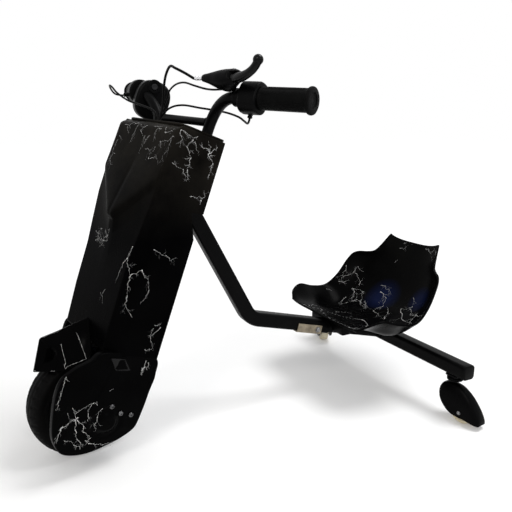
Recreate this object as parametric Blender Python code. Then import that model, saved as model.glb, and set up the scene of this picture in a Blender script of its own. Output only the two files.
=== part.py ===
"""Drift kart: one driven front wheel under a tall fairing, a bent square-tube frame,
a bucket seat and two swivelling casters.

Metres, +Z up, the kart heads along -Y and the rider's left is +X. The front assembly
is modelled upright in its own frame, whose Z axis is the steering axis, and is turned
a little to the rider's left, as the kart stands. Each end of the handlebar has a frame
with X along the bar, and the sliding rear has one on the slide's centre line.
"""
import math

import bpy
import bmesh
import numpy as np
from mathutils import Matrix, Vector

MM = 0.001

# Clearance between pieces that touch, how deep welded shapes run into each other,
# and how far a cutter reaches past what it cuts
GAP = 0.3 * MM
WELD = 1 * MM
OVER = 5 * MM

# How finely round shapes are drawn
SIDES = 24
FINE_SIDES = 40
TUBE_SIDES = 20
SMALL_SIDES = 12
HEX = 6

# Steering geometry
RAKE = math.radians(19.75)
STEER_TURN = math.radians(12.0)
FORK_OFFSET = 30.4 * MM
FORK_SPACING = 84 * MM

# Height of the fairing's top, from which the handlebar and the cables are placed
FAIRING_TOP_Z = 512 * MM

# Front tyre: its section is given by how far it steps in from the crown and the side
TYRE_RADIUS = 100 * MM
TYRE_WIDTH = 50 * MM
SIDEWALL_DROP = 9 * MM
SHOULDER_DROP = 2.2 * MM
SIDEWALL_RISE = 12 * MM
BEAD_SHARE = 0.8
SHOULDER_SHARE = 0.72
CROWN_SHARE = 0.3

# Hub motor, whose shell is the rim
RIM_RADIUS = 68 * MM
RIM_WIDTH = 46 * MM
MOTOR_RADIUS = 57 * MM
MOTOR_HALF_WIDTH = 44 * MM
MOTOR_BOSS = 12 * MM
MOTOR_NECK = 16 * MM
MOTOR_NECK_LENGTH = 6 * MM
MOTOR_FACE_SLOPE = 8 * MM

# Axle, its nuts and the dropout plates
AXLE_RADIUS = 6 * MM
AXLE_OVERHANG = 7 * MM
AXLE_CHAMFER = 1 * MM
NUT_HEIGHT = 4 * MM
NUT_RADIUS = 10 * MM
DROPOUT_THICKNESS = 5 * MM
DROPOUT_INSET = 9 * MM
DROPOUT_X = FORK_SPACING - DROPOUT_INSET
DROPOUT_RISE = 55 * MM

# Dropout outline: (y, z) from the axle, then (y, z) from the fork tube's foot
DROPOUT_LOW = ((-6 * MM, 16 * MM), (-13 * MM, 6 * MM), (-9 * MM, -12 * MM), (9 * MM, -15 * MM))
DROPOUT_HIGH = ((4 * MM, -35 * MM), (9 * MM, 0 * MM), (7 * MM, DROPOUT_RISE), (-7 * MM, DROPOUT_RISE),
                (-12 * MM, 10 * MM))

# Fork tubes, which run on up as the risers of the handlebar
FORK_TUBE_RADIUS = 9.5 * MM
FORK_FOOT_Z = 35 * MM

# Tabs on the fork tubes
TAB_THICKNESS = 4 * MM
TAB_HEIGHT = 22 * MM
UPPER_TAB_Z = FAIRING_TOP_Z - 72 * MM
LOWER_TAB_Z = 146 * MM
BATTERY_Z = 140 * MM
BATTERY_TAB_INSET = 34 * MM
BATTERY_TAB_DEPTH = 16 * MM
BATTERY_TAB_BITE = 5 * MM

# Crowns, steerer, bearings and head tube
CROWN_THICKNESS = 8 * MM
CROWN_DEPTH = 44 * MM
CROWN_EDGE = 1 * MM
LOWER_CROWN_Z = 350 * MM
HEAD_TUBE_LENGTH = 106 * MM
HEAD_TUBE_RADIUS = 22 * MM
HEAD_TUBE_WALL = 3.5 * MM
STEERER_RADIUS = 12.7 * MM
STEERER_STUB = 2 * MM
BEARING_HEIGHT = 7 * MM
LOCKNUT_HEIGHT = 10 * MM
LOCKNUT_RADIUS = 19 * MM

# Handlebar: the cross bar, and where the centre line of the left end ends and points
CROSSBAR_Z = FAIRING_TOP_Z + 24 * MM
CROSSBAR_RADIUS = 7 * MM
BAR_REACH = 200 * MM
BAR_BACK = 27.3 * MM
BAR_RISE = 80 * MM
BAR_END = Vector((FORK_SPACING + BAR_REACH, BAR_BACK, FAIRING_TOP_Z + BAR_RISE))
BAR_SWEEP = math.radians(19.0)
BEND_START_Z = FAIRING_TOP_Z + 4 * MM
BEND_WIDTH = 71 * MM
BEND_PULL_LOW = 35 * MM
BEND_PULL_HIGH = 30 * MM
BEND_STEPS = 10
BAR_RECESS = 2 * MM

# Grips
GRIP_LENGTH = 88 * MM
GRIP_RADIUS = 17.6 * MM
GRIP_RIB = 0.9 * MM
GRIP_RIBS = 12
GRIP_FLANGE_RADIUS = 20.7 * MM
GRIP_FLANGE_WIDTH = 6 * MM
GRIP_FLANGE_EDGE = 1.5 * MM

# Switch housing on the left and throttle housing on the right
HOUSING_WIDTH = 34 * MM
HOUSING_HEIGHT = 49 * MM
HOUSING_DEPTH = 40 * MM
HOUSING_ROUNDNESS = 0.7
HOUSING_EDGE = 2 * MM
GLAND_RADIUS = 4 * MM
GLAND_LENGTH = 12 * MM

# Buttons that press in
BUTTON_RADIUS = 6 * MM
BUTTON_EDGE = 1 * MM
HORN_BUTTON_SIZE = (4 * MM, 4.5 * MM)
HORN_POCKET_DEPTH = 6.5 * MM
HORN_BUTTON_Z = 8 * MM
POWER_BUTTON_SIZE = (2.3 * MM, 8.5 * MM)

# Display box: how long it is, and its section's half sizes and middle
DISPLAY_LENGTH = 40 * MM
DISPLAY_HALF = (35 * MM, 38 * MM)
DISPLAY_MIDDLE = (21.5 * MM, -4 * MM)
DISPLAY_ROUNDNESS = 0.6
DISPLAY_BUTTON_DEPTH = 6 * MM
DISPLAY_BUTTON_PLACE = (14 * MM, 17 * MM)

# Brake perch, lever and cable adjuster, placed from the middle of the perch's clamp
CLAMP_WIDTH = 15 * MM
CLAMP_WALL = 5 * MM
LEVER_PIVOT = Vector((2.1, -30, 21)) * MM
LEVER_TIP = Vector((53, -22, 22)) * MM
LEVER_RADIUS = 5 * MM
LEVER_EYE_RADIUS = 7 * MM
LEVER_BALL_RADIUS = 7 * MM
LEVER_PULL = Vector((14, -12, 0)) * MM
LEVER_PULL_SHARE = (0.8, 0.95, 0.3)
LEVER_STEPS = 8
LEVER_SLOT_LOW = Vector((-11, -25, -5.3)) * MM
LEVER_SLOT_HIGH = Vector((30, 9, 6.5)) * MM
PIN_RADIUS = 2.5 * MM
PIN_REACH = (9 * MM, 10.5 * MM)
ADJUSTER_END = Vector((-72.9, -26, 19.5)) * MM
ADJUSTER_RADIUS = 3.6 * MM
ADJUSTER_LENGTH = 14 * MM

# Perch arm: (x, y, z) from the lever's pivot, then half depth and half height
PERCH_STATIONS = np.array([
    (11, -1, 0, 7, 9.5), (2, 1, 0, 11, 10.5), (-10, 8, -4, 19, 14), (-28, 7, -3, 16, 11),
    (-46, 4, -1.5, 9, 8)]) * MM
PERCH_TIP_RADIUS = 5 * MM

# Glands, placed from the middle of their housing
SWITCH_GLAND = Vector((-4.7, 10, -29)) * MM
SWITCH_RUN = Vector((0, 0, -1))
THROTTLE_GLAND = Vector((-0.3, -30, -17)) * MM
THROTTLE_RUN = Vector((0, -2, -1)).normalized()

# Cables, and their routes in the steering frame, with heights from the fairing's top
CABLE_RADIUS = 2.2 * MM
LEAD_RADIUS = 1.76 * MM
CABLE_SPACING = 2.5
BRAKE_ROUTE = np.array([
    (80, -70, 81), (60, -78, 86), (38, -77, 90), (12, -66, 80), (-5, -54, 63), (-11, -44, 40),
    (-10.5, -41.5, 18), (-10.5, -41.5, -7)]) * MM
SWITCH_ROUTE = np.array([
    (168, 12, 33), (150, 17, 38), (130, 20, 44), (104, 17, 48), (72, 14, 50), (40, 0, 48), (12, -18, 45),
    (-8, -29, 35), (-18, -35, 16), (-18.5, -36.5, -7)]) * MM
THROTTLE_ROUTE = np.array([
    (-196, -50, 47), (-184, -66, 50), (-164, -80, 53), (-144, -83, 49), (-126, -78, 40), (-98, -66, 31),
    (-60, -57, 27), (-28, -49, 22), (-18.5, -45.5, 11), (-18, -45.5, -7)]) * MM

# Fairing
FAIRING_MARGIN = 16 * MM
FAIRING_HALF_WIDTH = FORK_SPACING + FAIRING_MARGIN
FAIRING_FRONT_Y = -68 * MM
FAIRING_REAR_Y = 27 * MM
FAIRING_WALL = 3.5 * MM
FAIRING_SIDE_Y = -62 * MM
FAIRING_SIDE_SLOPE = 105 * MM
FAIRING_WAIST_Y = -10 * MM
FAIRING_BULGE = 2 * MM
PROW_STRIP = 8 * MM
PROW_MIDDLE_SHARE = 0.54
CREASE_SHARE = 0.78

# Rows of the skin between its top and bottom: how far the middle and the sides lie below
# the top, and how far the prow and the corners stand before the front
FAIRING_ROWS = np.array([
    (0, 0, 0, 0), (62, 40, 1, 2), (174, 72, 23, 6), (182, 80, 11, 0), (205, 125, 3, 0), (245, 178, 0, 0),
    (272, 222, 0, 0), (330, 310, 0, 0), (384, 384, 0, 0)]) * MM

# How far out each row's corner lies, as a share of the half width
FAIRING_CORNERS = (1.0, 1.0, 1.0, 1.0, 0.97, 0.86, 0.78, 0.78, 0.78)

# Gap behind the fairing's side wings: (y, z)
WING_NOTCH = ((-20 * MM, 383 * MM), (60 * MM, 383 * MM), (60 * MM, 338 * MM), (18 * MM, 338 * MM))
NOTCH_REACH = 12 * MM

# Panel on top of the fairing and cover behind it
TOP_PANEL_THICKNESS = 4 * MM
TOP_PANEL_CORNER = 10 * MM
CABLE_HOLE = (-15 * MM, -41 * MM)
CABLE_HOLE_RADIUS = 9 * MM
REAR_COVER_TOP = 336 * MM
REAR_COVER_THICKNESS = 3 * MM
REAR_COVER_INSET = 3 * MM
REAR_COVER_SLACK = 0.5 * MM

# Battery and motor controller
BATTERY_HEIGHT = 156 * MM
BATTERY_ROOM = 12 * MM
BATTERY_FRONT_Y = -46 * MM
BATTERY_REAR_Y = 14 * MM
BATTERY_EDGE = 3 * MM
CONTROLLER_HALF = 42 * MM
CONTROLLER_FRONT_Y = -42 * MM
CONTROLLER_REAR_Y = 4 * MM
CONTROLLER_ROOM = 4 * MM
CONTROLLER_EDGE = 2 * MM

# Covers round the front wheel
COVER_MARGIN = 14 * MM
COVER_X = FORK_SPACING + COVER_MARGIN
COVER_TAPER = 10 * MM
COVER_WAIST_Z = 60 * MM
COVER_TAPER_HEIGHT = 115 * MM
COVER_WALL = 3 * MM
COVER_FLANGE = 14 * MM
COVER_EDGE = 4 * MM
COVER_INSETS = (0.5, 0.93, 0.955, 0.90)
COVER_BOLTS = {
    "left": ((-31 * MM, 31 * MM), (-9 * MM, 18 * MM), (11 * MM, 16 * MM)),
    "right": ((11 * MM, 16 * MM), (-9 * MM, 18 * MM)),
}
COVER_BOLT_RADIUS = 4.5 * MM
COVER_BOLT_HEIGHT = 3.5 * MM
COVER_BOLT_LIFT = 0.9 * MM
BOSS_PROFILE = ((22 * MM, 0 * MM), (22 * MM, 5.5 * MM), (18 * MM, 9 * MM), (8 * MM, 11 * MM))
BOSS_SINK = 5 * MM

# Outline of each side cover: (y, z). The left one hides the wheel, the right one only the fork leg
COVER_OUTLINES = {
    "left": np.array([
        (22, 124), (36, 92), (34, 60), (34, 27), (30, -11), (12, -31), (-13, -46), (-38, -58), (-64, -63),
        (-88, -60), (-104, -46), (-116, -25), (-126, 10), (-132, 45), (-130, 70), (-115, 90), (-92, 106),
        (-68, 124)]) * MM,
    "right": np.array([
        (22, 124), (36, 92), (34, 60), (34, 27), (30, -11), (12, -31), (-13, -42), (-38, -44), (-62, -34),
        (-74, -12), (-77, 20), (-76, 56), (-66, 90), (-55, 124)]) * MM,
}

# Mudguard, placed from the tyre's front and its crown: the ridge along its middle (y, z), the
# front of its left skirt (x, y, z), and where ridge and skirt meet the fairing (height, and x with height)
FENDER_RIDGE = ((-4.6 * MM, -53 * MM), (-10.6 * MM, 5 * MM), (15.4 * MM, 20 * MM), (36.4 * MM, 34 * MM))
FENDER_SKIRT = (42 * MM, 29.9 * MM, -30 * MM)
FENDER_TOP_RISE = 50 * MM
FENDER_BACK = ((45 * MM, -12 * MM), (47 * MM, 8 * MM))
FENDER_INSIDE = (55.4 * MM, -40 * MM)
FENDER_SLACK = 0.5 * MM
ARCH_HALF_WIDTH = 33 * MM
WHEEL_CLEARANCE = 5 * MM

# Lamp in each side of the prow: its opening (x, and z from the crown), and how far it is sunk, from
# the tyre's front
LAMP_ARCH = np.array([(8.5, -36), (24, -21), (23, -9), (15, 1), (8.5, -6)]) * MM
LAMP_CENTRE = np.array([16, -16]) * MM
LAMP_FRONT = -29.6 * MM
LAMP_DEPTH = 13.9 * MM
LENS_SHARE = 0.95
LENS_THICKNESS = 2.5 * MM

# Frame: square tube from the head tube down to a bend and back under the seat
TUBE_SIZE = 30 * MM
TUBE_CORNER = 6 * MM
TUBE_WALL = 2.3 * MM
FRAME_HEAD = Vector((0, 178, 503)) * MM
FRAME_BEND = Vector((0, 339, 199.5)) * MM
BEND_RADIUS = 46 * MM
SEAT_CUT_REACH = 60 * MM
SLEEVE_END_Y = 530 * MM
SLEEVE_BORE_Y = 385 * MM
SLIDE_SLOPE = math.radians(14.3)
SLIDE_SIZE = 24.8 * MM
SLIDE_CORNER = 3.2 * MM
SLIDE_FRONT_Y = 440 * MM

# Clamp round the sleeve's end, and its bolts
CLAMP_Y = 480 * MM
CLAMP_HALF_LENGTH = 31 * MM
CLAMP_SHEET = 2.5 * MM
CLAMP_RISE = 2 * MM
SLEEVE_BOLT_PLACE = (20 * MM, -7 * MM)
SLEEVE_BOLT_RADIUS = 5 * MM
SLEEVE_BOLT_HEIGHT = 4 * MM

# Rear bar and its end caps
BAR_Y = 690 * MM
BAR_HALF_LENGTH = 262 * MM
BAR_BORE_DEPTH = 60 * MM
END_CAP = 4 * MM
PLUG_LENGTH = 18 * MM

# Casters
CASTER_X = 232 * MM
CASTER_TRAIL = 25 * MM
CASTER_WHEEL_RADIUS = 25 * MM
CASTER_WHEEL_WIDTH = 21 * MM
CASTER_PLATE = 3 * MM
CASTER_PLATE_INSET = 2 * MM
CASTER_CUP_HEIGHT = 8 * MM
CASTER_CUP_RADIUS = 16 * MM
CASTER_CUP_SLOPE = (5 * MM, 3 * MM)
CASTER_CUP_EDGE = 1 * MM
CASTER_CLEARANCE = 3 * MM
CASTER_AXLE_RADIUS = 4 * MM
CASTER_HUB_RADIUS = 8 * MM
CASTER_HUB_STEP = 1.5 * MM
CASTER_DISH = (10 * MM, 16 * MM, 18 * MM)
CASTER_DISH_DEPTH = 2 * MM
CASTER_TREAD_EDGE = (3 * MM, 1 * MM)
CASTER_NUT_RADIUS = 5.5 * MM
CASTER_NUT_HEIGHT = 4 * MM
LEFT_CASTER_TURN = math.radians(-80)
RIGHT_CASTER_TURN = math.radians(65)

# A caster hood: its size, and its outline behind and before the wheel (trail, height above the floor)
HOOD_HALF_WIDTH = 17.5 * MM
HOOD_EDGE = 4 * MM
HOOD_TOP = (14 * MM, -13 * MM)
HOOD_BACK = ((23 * MM, 66 * MM), (35 * MM, 56 * MM), (46 * MM, 44 * MM), (55 * MM, 31 * MM),
             (61 * MM, 18 * MM), (63 * MM, 9 * MM), (57 * MM, 7 * MM))
HOOD_FRONT = ((9 * MM, 7 * MM), (-2 * MM, 17 * MM), (-13 * MM, 30 * MM), (-20 * MM, 42 * MM),
              (-24 * MM, 56 * MM), (-22 * MM, 70 * MM))

# Seat, placed from the middle of the rear bar: its middle line, front lip to top (y, z), and its
# left rim, front lobe to top corner (x, y, z)
SEAT_WALL = 4 * MM
SEAT_MIDDLE = np.array([
    (-174, 70), (-150, 61), (-115, 54), (-70, 50), (-25, 52), (15, 65), (47, 95), (67, 135), (78, 175),
    (84, 206)]) * MM
SEAT_RIM = np.array([
    (124, -173, 70), (146, -158, 86), (158, -130, 95), (163, -90, 84), (165, -50, 82), (160, -18, 106),
    (151, 10, 142), (128, 32, 160), (100, 58, 186), (79, 84, 216)]) * MM
SEAT_COLUMNS = 13
SEAT_FLATNESS = 2.6
SEAT_SPREAD = 0.35

# Seat bracket on the slide tube, placed from the rear bar
SEAT_PLATE = 4 * MM
SEAT_PLATE_HALF = 55 * MM
SEAT_PLATE_FRONT = -100 * MM
SEAT_PLATE_REAR = -35 * MM
SEAT_POST = 14 * MM
SEAT_POST_INSET = 2 * MM

SIDE_NAME = {1: "left", -1: "right"}


def material(name, colour, roughness, metallic=0.0):
    """A Principled BSDF of one colour."""
    made = bpy.data.materials.new(name)
    made.use_nodes = True
    shader = made.node_tree.nodes["Principled BSDF"]
    shader.inputs["Base Color"].default_value = (*colour, 1.0)
    shader.inputs["Roughness"].default_value = roughness
    shader.inputs["Metallic"].default_value = metallic
    made.diffuse_color = (*colour, 1.0)
    return made


def clear_scene():
    for old in list(bpy.data.objects):
        bpy.data.objects.remove(old, do_unlink=True)


def empty(name, parent=None, matrix=Matrix.Identity(4)):
    """A joint's frame: its origin lies on the joint's axis."""
    made = bpy.data.objects.new(name, None)
    bpy.context.collection.objects.link(made)
    made.parent = parent
    made.matrix_local = matrix
    return made


def mesh_object(name, points, faces, finish, parent=None, sharp=35):
    """A closed mesh with its normals pointing out, in its parent's frame."""
    mesh = bpy.data.meshes.new(name)
    mesh.from_pydata([tuple(map(float, point)) for point in points], [], [tuple(face) for face in faces])
    work = bmesh.new()
    work.from_mesh(mesh)
    bmesh.ops.remove_doubles(work, verts=work.verts, dist=0.00001)
    bmesh.ops.recalc_face_normals(work, faces=work.faces)
    work.to_mesh(mesh)
    work.free()
    mesh.shade_smooth()
    mesh.set_sharp_from_angle(angle=math.radians(sharp))
    mesh.materials.append(finish)
    made = bpy.data.objects.new(name, mesh)
    bpy.context.collection.objects.link(made)
    made.parent = parent
    return made


def band(start, end, size):
    """Faces between two loops of so many points that start at the given numbers."""
    return [(start + j, start + (j + 1) % size, end + (j + 1) % size, end + j) for j in range(size)]


def loft(name, rings, finish, parent=None, sharp=35):
    """Joins closed loops of equally many points and caps both ends."""
    size = len(rings[0])
    last = (len(rings) - 1) * size
    faces = [range(size), range(last, last + size)]
    for start in range(0, last, size):
        faces += band(start, start + size, size)
    return mesh_object(name, np.vstack(rings), faces, finish, parent, sharp)


def shell(name, grid, thickness, finish, parent=None, sharp=35):
    """A sheet of points, rows by columns, given a wall on the side its normals point away from."""
    along = np.gradient(grid, axis=0)
    across = np.gradient(grid, axis=1)
    normal = np.cross(along, across)
    normal /= np.linalg.norm(normal, axis=2, keepdims=True)
    points = np.vstack([grid.reshape(-1, 3), (grid - normal * thickness).reshape(-1, 3)])
    rows, columns = grid.shape[:2]
    back = rows * columns
    index = np.arange(back).reshape(rows, columns)
    faces = []
    for i in range(rows - 1):
        for j in range(columns - 1):
            quad = [index[i, j], index[i, j + 1], index[i + 1, j + 1], index[i + 1, j]]
            faces.append(quad)
            faces.append([corner + back for corner in quad[::-1]])
    rim = list(index[0, :-1]) + list(index[:-1, -1]) + list(index[-1, :0:-1]) + list(index[:0:-1, 0])
    for here, there in zip(rim, rim[1:] + rim[:1]):
        faces.append([here, there, there + back, here + back])
    return mesh_object(name, points, faces, finish, parent, sharp)


def frame_of(direction):
    """Two unit vectors square to a direction, the second as near to up as can be."""
    direction = Vector(direction).normalized()
    up = Vector((0, 0, 1))
    if abs(direction.dot(up)) > 0.99:
        up = Vector((0, 1, 0))
    high = (up - direction * up.dot(direction)).normalized()
    return high.cross(direction), high


def turned(name, start, direction, profile, finish, parent=None, sides=SIDES, sharp=35):
    """Turns a closed profile of (radius, distance) points about a line from start."""
    start = Vector(start)
    direction = Vector(direction).normalized()
    wide, high = frame_of(direction)
    points = []
    for k in range(sides):
        angle = math.tau * k / sides
        out = wide * math.cos(angle) + high * math.sin(angle)
        points += [start + out * radius + direction * distance for radius, distance in profile]
    size = len(profile)
    faces = []
    for k in range(sides):
        a = k * size
        b = (k + 1) % sides * size
        for j in range(size):
            n = (j + 1) % size
            if profile[j][0] == 0 and profile[n][0] == 0:
                continue
            quad = [a + j, a + n, b + n, b + j]
            if profile[j][0] == 0:
                quad = [a + j, a + n, b + n]
            elif profile[n][0] == 0:
                quad = [a + j, a + n, b + j]
            faces.append(quad)
    return mesh_object(name, points, faces, finish, parent, sharp)


def rod(name, start, end, radius, finish, parent=None, sides=SIDES, chamfer=0.0):
    """A round bar, its edges broken by a chamfer."""
    start = Vector(start)
    run = Vector(end) - start
    length = run.length
    profile = [(0, 0), (radius - chamfer, 0), (radius, chamfer), (radius, length - chamfer),
               (radius - chamfer, length), (0, length)]
    if not chamfer:
        profile = [(0, 0), (radius, 0), (radius, length), (0, length)]
    return turned(name, start, run, profile, finish, parent, sides)


def ring(name, start, end, outer, inner, finish, parent=None, sides=SIDES):
    """A round tube with an open bore."""
    start = Vector(start)
    run = Vector(end) - start
    profile = [(inner, 0), (outer, 0), (outer, run.length), (inner, run.length)]
    return turned(name, start, run, profile, finish, parent, sides)


def prism(name, outline, axis, low, high, finish, parent=None, sharp=35):
    """An outline in the plane square to an axis, carried from low to high along it."""
    outline = np.asarray(outline, float)
    rings = [np.insert(outline, axis, level, axis=1) for level in (low, high)]
    return loft(name, rings, finish, parent, sharp)


def block(name, low, high, finish, parent=None, bevel=0.0):
    """A box between two corners, its edges broken by a bevel."""
    (x0, y0, z0), (x1, y1, z1) = low, high
    made = prism(name, [(x0, y0), (x1, y0), (x1, y1), (x0, y1)], 2, z0, z1, finish, parent)
    if bevel:
        edge = made.modifiers.new("edge", "BEVEL")
        edge.width = bevel
        edge.segments = 1
        edge.limit_method = "ANGLE"
    return made


def rounded_square(half, corner):
    """Outline of a square tube's section: each corner has its two ends and its middle."""
    outline = []
    for quarter, (u, v) in enumerate(((1, 1), (-1, 1), (-1, -1), (1, -1))):
        for part in (0, 0.5, 1):
            angle = math.pi / 2 * (quarter + part)
            outline.append((u * (half - corner) + corner * math.cos(angle),
                            v * (half - corner) + corner * math.sin(angle)))
    return np.array(outline)


def circle(radius, sides=SIDES):
    angle = np.arange(sides) * math.tau / sides
    return np.stack([radius * np.cos(angle), radius * np.sin(angle)], axis=1)


def rounded_box(half_u, half_v, power, sides=TUBE_SIDES):
    """Outline between an ellipse, at power 1, and a rectangle, at power 0."""
    unit = circle(1.0, sides)
    return np.sign(unit) * np.abs(unit) ** power * (half_u, half_v)


def carried(name, path, section, finish, parent=None, sharp=35):
    """Carries a section along a path that lies near one plane."""
    path = [Vector(point) for point in path]
    rings = []
    wide = frame_of(path[1] - path[0])[0]
    for i, point in enumerate(path):
        ahead = path[min(i + 1, len(path) - 1)]
        behind = path[max(i - 1, 0)]
        direction = (ahead - behind).normalized()
        wide = (wide - direction * wide.dot(direction)).normalized()
        high = wide.cross(direction)
        rings.append([point + wide * u + high * v for u, v in section])
    return loft(name, rings, finish, parent, sharp)


def arc_corner(before, corner, after, radius, steps=7):
    """Points of a round bend that joins two straight runs."""
    one = (before - corner).normalized()
    two = (after - corner).normalized()
    half = one.angle(two) / 2
    reach = radius / math.tan(half)
    centre = corner + (one + two).normalized() * (radius / math.sin(half))
    start = corner + one * reach - centre
    end = corner + two * reach - centre
    sweep = start.angle(end)
    points = []
    for k in range(steps):
        share = k / (steps - 1)
        first = math.sin((1 - share) * sweep) / math.sin(sweep)
        second = math.sin(share * sweep) / math.sin(sweep)
        points.append(centre + start * first + end * second)
    return points


def bezier(p0, p1, p2, p3, steps):
    """Points along a cubic curve, ends included."""
    points = []
    for t in np.linspace(0, 1, steps):
        s = 1 - t
        points.append(p0 * s**3 + p1 * (3 * s * s * t) + p2 * (3 * s * t * t) + p3 * t**3)
    return points


def hide(tool):
    tool.hide_render = True
    tool.display_type = "WIRE"


def cut(made, cutter):
    """Cuts a shape out of a piece and hides the cutter."""
    change = made.modifiers.new("cut", "BOOLEAN")
    change.operation = "DIFFERENCE"
    change.object = cutter
    hide(cutter)


def join(made, other):
    """Welds a second shape to a piece."""
    change = made.modifiers.new("join", "BOOLEAN")
    change.operation = "UNION"
    change.object = other
    hide(other)


def smooth_route(points, spacing):
    """Even points along a Catmull-Rom curve through the route's own points."""
    nodes = [Vector(point) for point in points]
    nodes = [nodes[0] * 2 - nodes[1]] + nodes + [nodes[-1] * 2 - nodes[-2]]
    fine = []
    for a, b, c, d in zip(nodes, nodes[1:], nodes[2:], nodes[3:]):
        for t in np.linspace(0, 1, 20, endpoint=False):
            bend = (a * 2 - b * 5 + c * 4 - d) * t * t
            turn = (b * 3 - a - c * 3 + d) * t**3
            fine.append((b * 2 + (c - a) * t + bend + turn) / 2)
    fine.append(nodes[-2])
    length = [0.0]
    for here, there in zip(fine, fine[1:]):
        length.append(length[-1] + (there - here).length)
    marks = np.linspace(0, length[-1], int(length[-1] / spacing))
    fine = np.array([tuple(point) for point in fine])
    return np.stack([np.interp(marks, length, fine[:, k]) for k in range(3)], axis=1)


def cable(name, points, radius, finish, parent):
    """A cable: a round bevel on a poly curve that leaves its mouth straight and then follows its route."""
    route = smooth_route(points, 2 * radius * CABLE_SPACING)
    route = np.vstack([route[:1], [tuple(points[1])], route[1:]])
    curve = bpy.data.curves.new(name, "CURVE")
    curve.dimensions = "3D"
    curve.bevel_depth = radius
    curve.bevel_resolution = 2
    curve.use_fill_caps = True
    spline = curve.splines.new("POLY")
    spline.points.add(len(route) - 1)
    for point, place in zip(spline.points, route):
        point.co = (*place, 1.0)
    curve.materials.append(finish)
    made = bpy.data.objects.new(name, curve)
    bpy.context.collection.objects.link(made)
    made.parent = parent
    return made


def steering_matrix(turn):
    """The steering axis in the kart's frame, behind the axle by the fork's offset."""
    axle = Vector((0, 0, TYRE_RADIUS))
    back = Vector((0, math.cos(RAKE), -math.sin(RAKE)))
    place = Matrix.Translation(axle + back * FORK_OFFSET)
    return place @ Matrix.Rotation(-RAKE, 4, "X") @ Matrix.Rotation(turn, 4, "Z")


def bar_outward(side):
    """Which way one end of the handlebar points, in the steering frame: swept back and level on the kart."""
    return Vector((side * math.cos(BAR_SWEEP), math.sin(BAR_SWEEP) * math.cos(RAKE),
                   math.sin(BAR_SWEEP) * math.sin(RAKE)))


def bar_matrix(side):
    """Where one end of the handlebar lies: X runs along the bar towards +X, Z is up."""
    along = bar_outward(side) * side
    high = (Vector((0, 0, 1)) - along * along.z).normalized()
    turn = Matrix((along, high.cross(along), high)).transposed().to_4x4()
    return Matrix.Translation((side * BAR_END.x, BAR_END.y, BAR_END.z)) @ turn


def slide_matrix(distance_y):
    """A frame on the slide's centre line: Y runs back along it, Z is square to it."""
    direction = Vector((0, math.cos(SLIDE_SLOPE), -math.sin(SLIDE_SLOPE)))
    place = FRAME_BEND + direction * ((distance_y - FRAME_BEND.y) / math.cos(SLIDE_SLOPE))
    return Matrix.Translation(place) @ Matrix.Rotation(-SLIDE_SLOPE, 4, "X")


def build_front_wheel(axle_line, mats):
    """Tyre, and the motor rim that it seats on."""
    half = TYRE_WIDTH / 2
    side = [(RIM_RADIUS, half * BEAD_SHARE), (RIM_RADIUS + SIDEWALL_RISE, half),
            (TYRE_RADIUS - SIDEWALL_DROP, half), (TYRE_RADIUS - SHOULDER_DROP, half * SHOULDER_SHARE),
            (TYRE_RADIUS, half * CROWN_SHARE)]
    tread = [(radius, -x) for radius, x in side] + side[::-1]
    turned("front_tyre", (0, 0, 0), (1, 0, 0), tread, mats["tyre"], axle_line, FINE_SIDES)
    rim = RIM_WIDTH / 2
    bore = AXLE_RADIUS + GAP
    side = [(bore, MOTOR_HALF_WIDTH), (bore + MOTOR_BOSS, MOTOR_HALF_WIDTH),
            (bore + MOTOR_NECK, MOTOR_HALF_WIDTH - MOTOR_NECK_LENGTH), (MOTOR_RADIUS - MOTOR_FACE_SLOPE, rim),
            (MOTOR_RADIUS, rim), (RIM_RADIUS - GAP, rim)]
    profile = [(radius, -x) for radius, x in side] + side[::-1]
    turned("hub_motor", (0, 0, 0), (1, 0, 0), profile, mats["motor"], axle_line)


def build_axle(steering, mats):
    """Axle with a nut outside each dropout."""
    at = Vector((0, -FORK_OFFSET, 0))
    reach = Vector((DROPOUT_X + AXLE_OVERHANG, 0, 0))
    axle = rod("front_axle", at - reach, at + reach, AXLE_RADIUS, mats["steel"], steering, TUBE_SIDES,
               AXLE_CHAMFER)
    for side, label in SIDE_NAME.items():
        start = at + Vector((side * (DROPOUT_X + DROPOUT_THICKNESS / 2 + GAP), 0, 0))
        end = start + Vector((side * NUT_HEIGHT, 0, 0))
        join(axle, rod(f"axle_nut_{label}", start, end, NUT_RADIUS, mats["steel"], steering, HEX))


def build_dropout(side, steering, mats):
    """Plate welded into the foot of a fork tube, which reaches forward to the axle."""
    outline = [(y - FORK_OFFSET, z) for y, z in DROPOUT_LOW] + [(y, z + FORK_FOOT_Z) for y, z in DROPOUT_HIGH]
    low = side * DROPOUT_X - DROPOUT_THICKNESS / 2
    return prism(f"dropout_{SIDE_NAME[side]}", outline, 0, low, low + DROPOUT_THICKNESS, mats["frame"],
                 steering)


def fork_tabs(side, steering, mats):
    """Flat tabs on a fork tube: two reach out to the fairing, one reaches in under the battery."""
    label = SIDE_NAME[side]
    front = -FORK_TUBE_RADIUS
    wall = FAIRING_HALF_WIDTH - FAIRING_WALL - 2 * GAP
    tabs = []
    for name, level in (("upper", UPPER_TAB_Z), ("lower", LOWER_TAB_Z)):
        low, high = sorted((side * FORK_SPACING, side * wall))
        near = (low, front, level)
        far = (high, front + TAB_THICKNESS, level + TAB_HEIGHT)
        tabs.append(block(f"fairing_tab_{name}_{label}", near, far, mats["frame"], steering))
    inner = FORK_SPACING - BATTERY_TAB_INSET
    outer = FORK_SPACING - FORK_TUBE_RADIUS + BATTERY_TAB_BITE
    low, high = sorted((side * inner, side * outer))
    half = BATTERY_TAB_DEPTH / 2
    tabs.append(block(f"battery_tab_{label}", (low, -half, BATTERY_Z - TAB_THICKNESS), (high, half, BATTERY_Z),
                      mats["frame"], steering))
    return tabs


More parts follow.
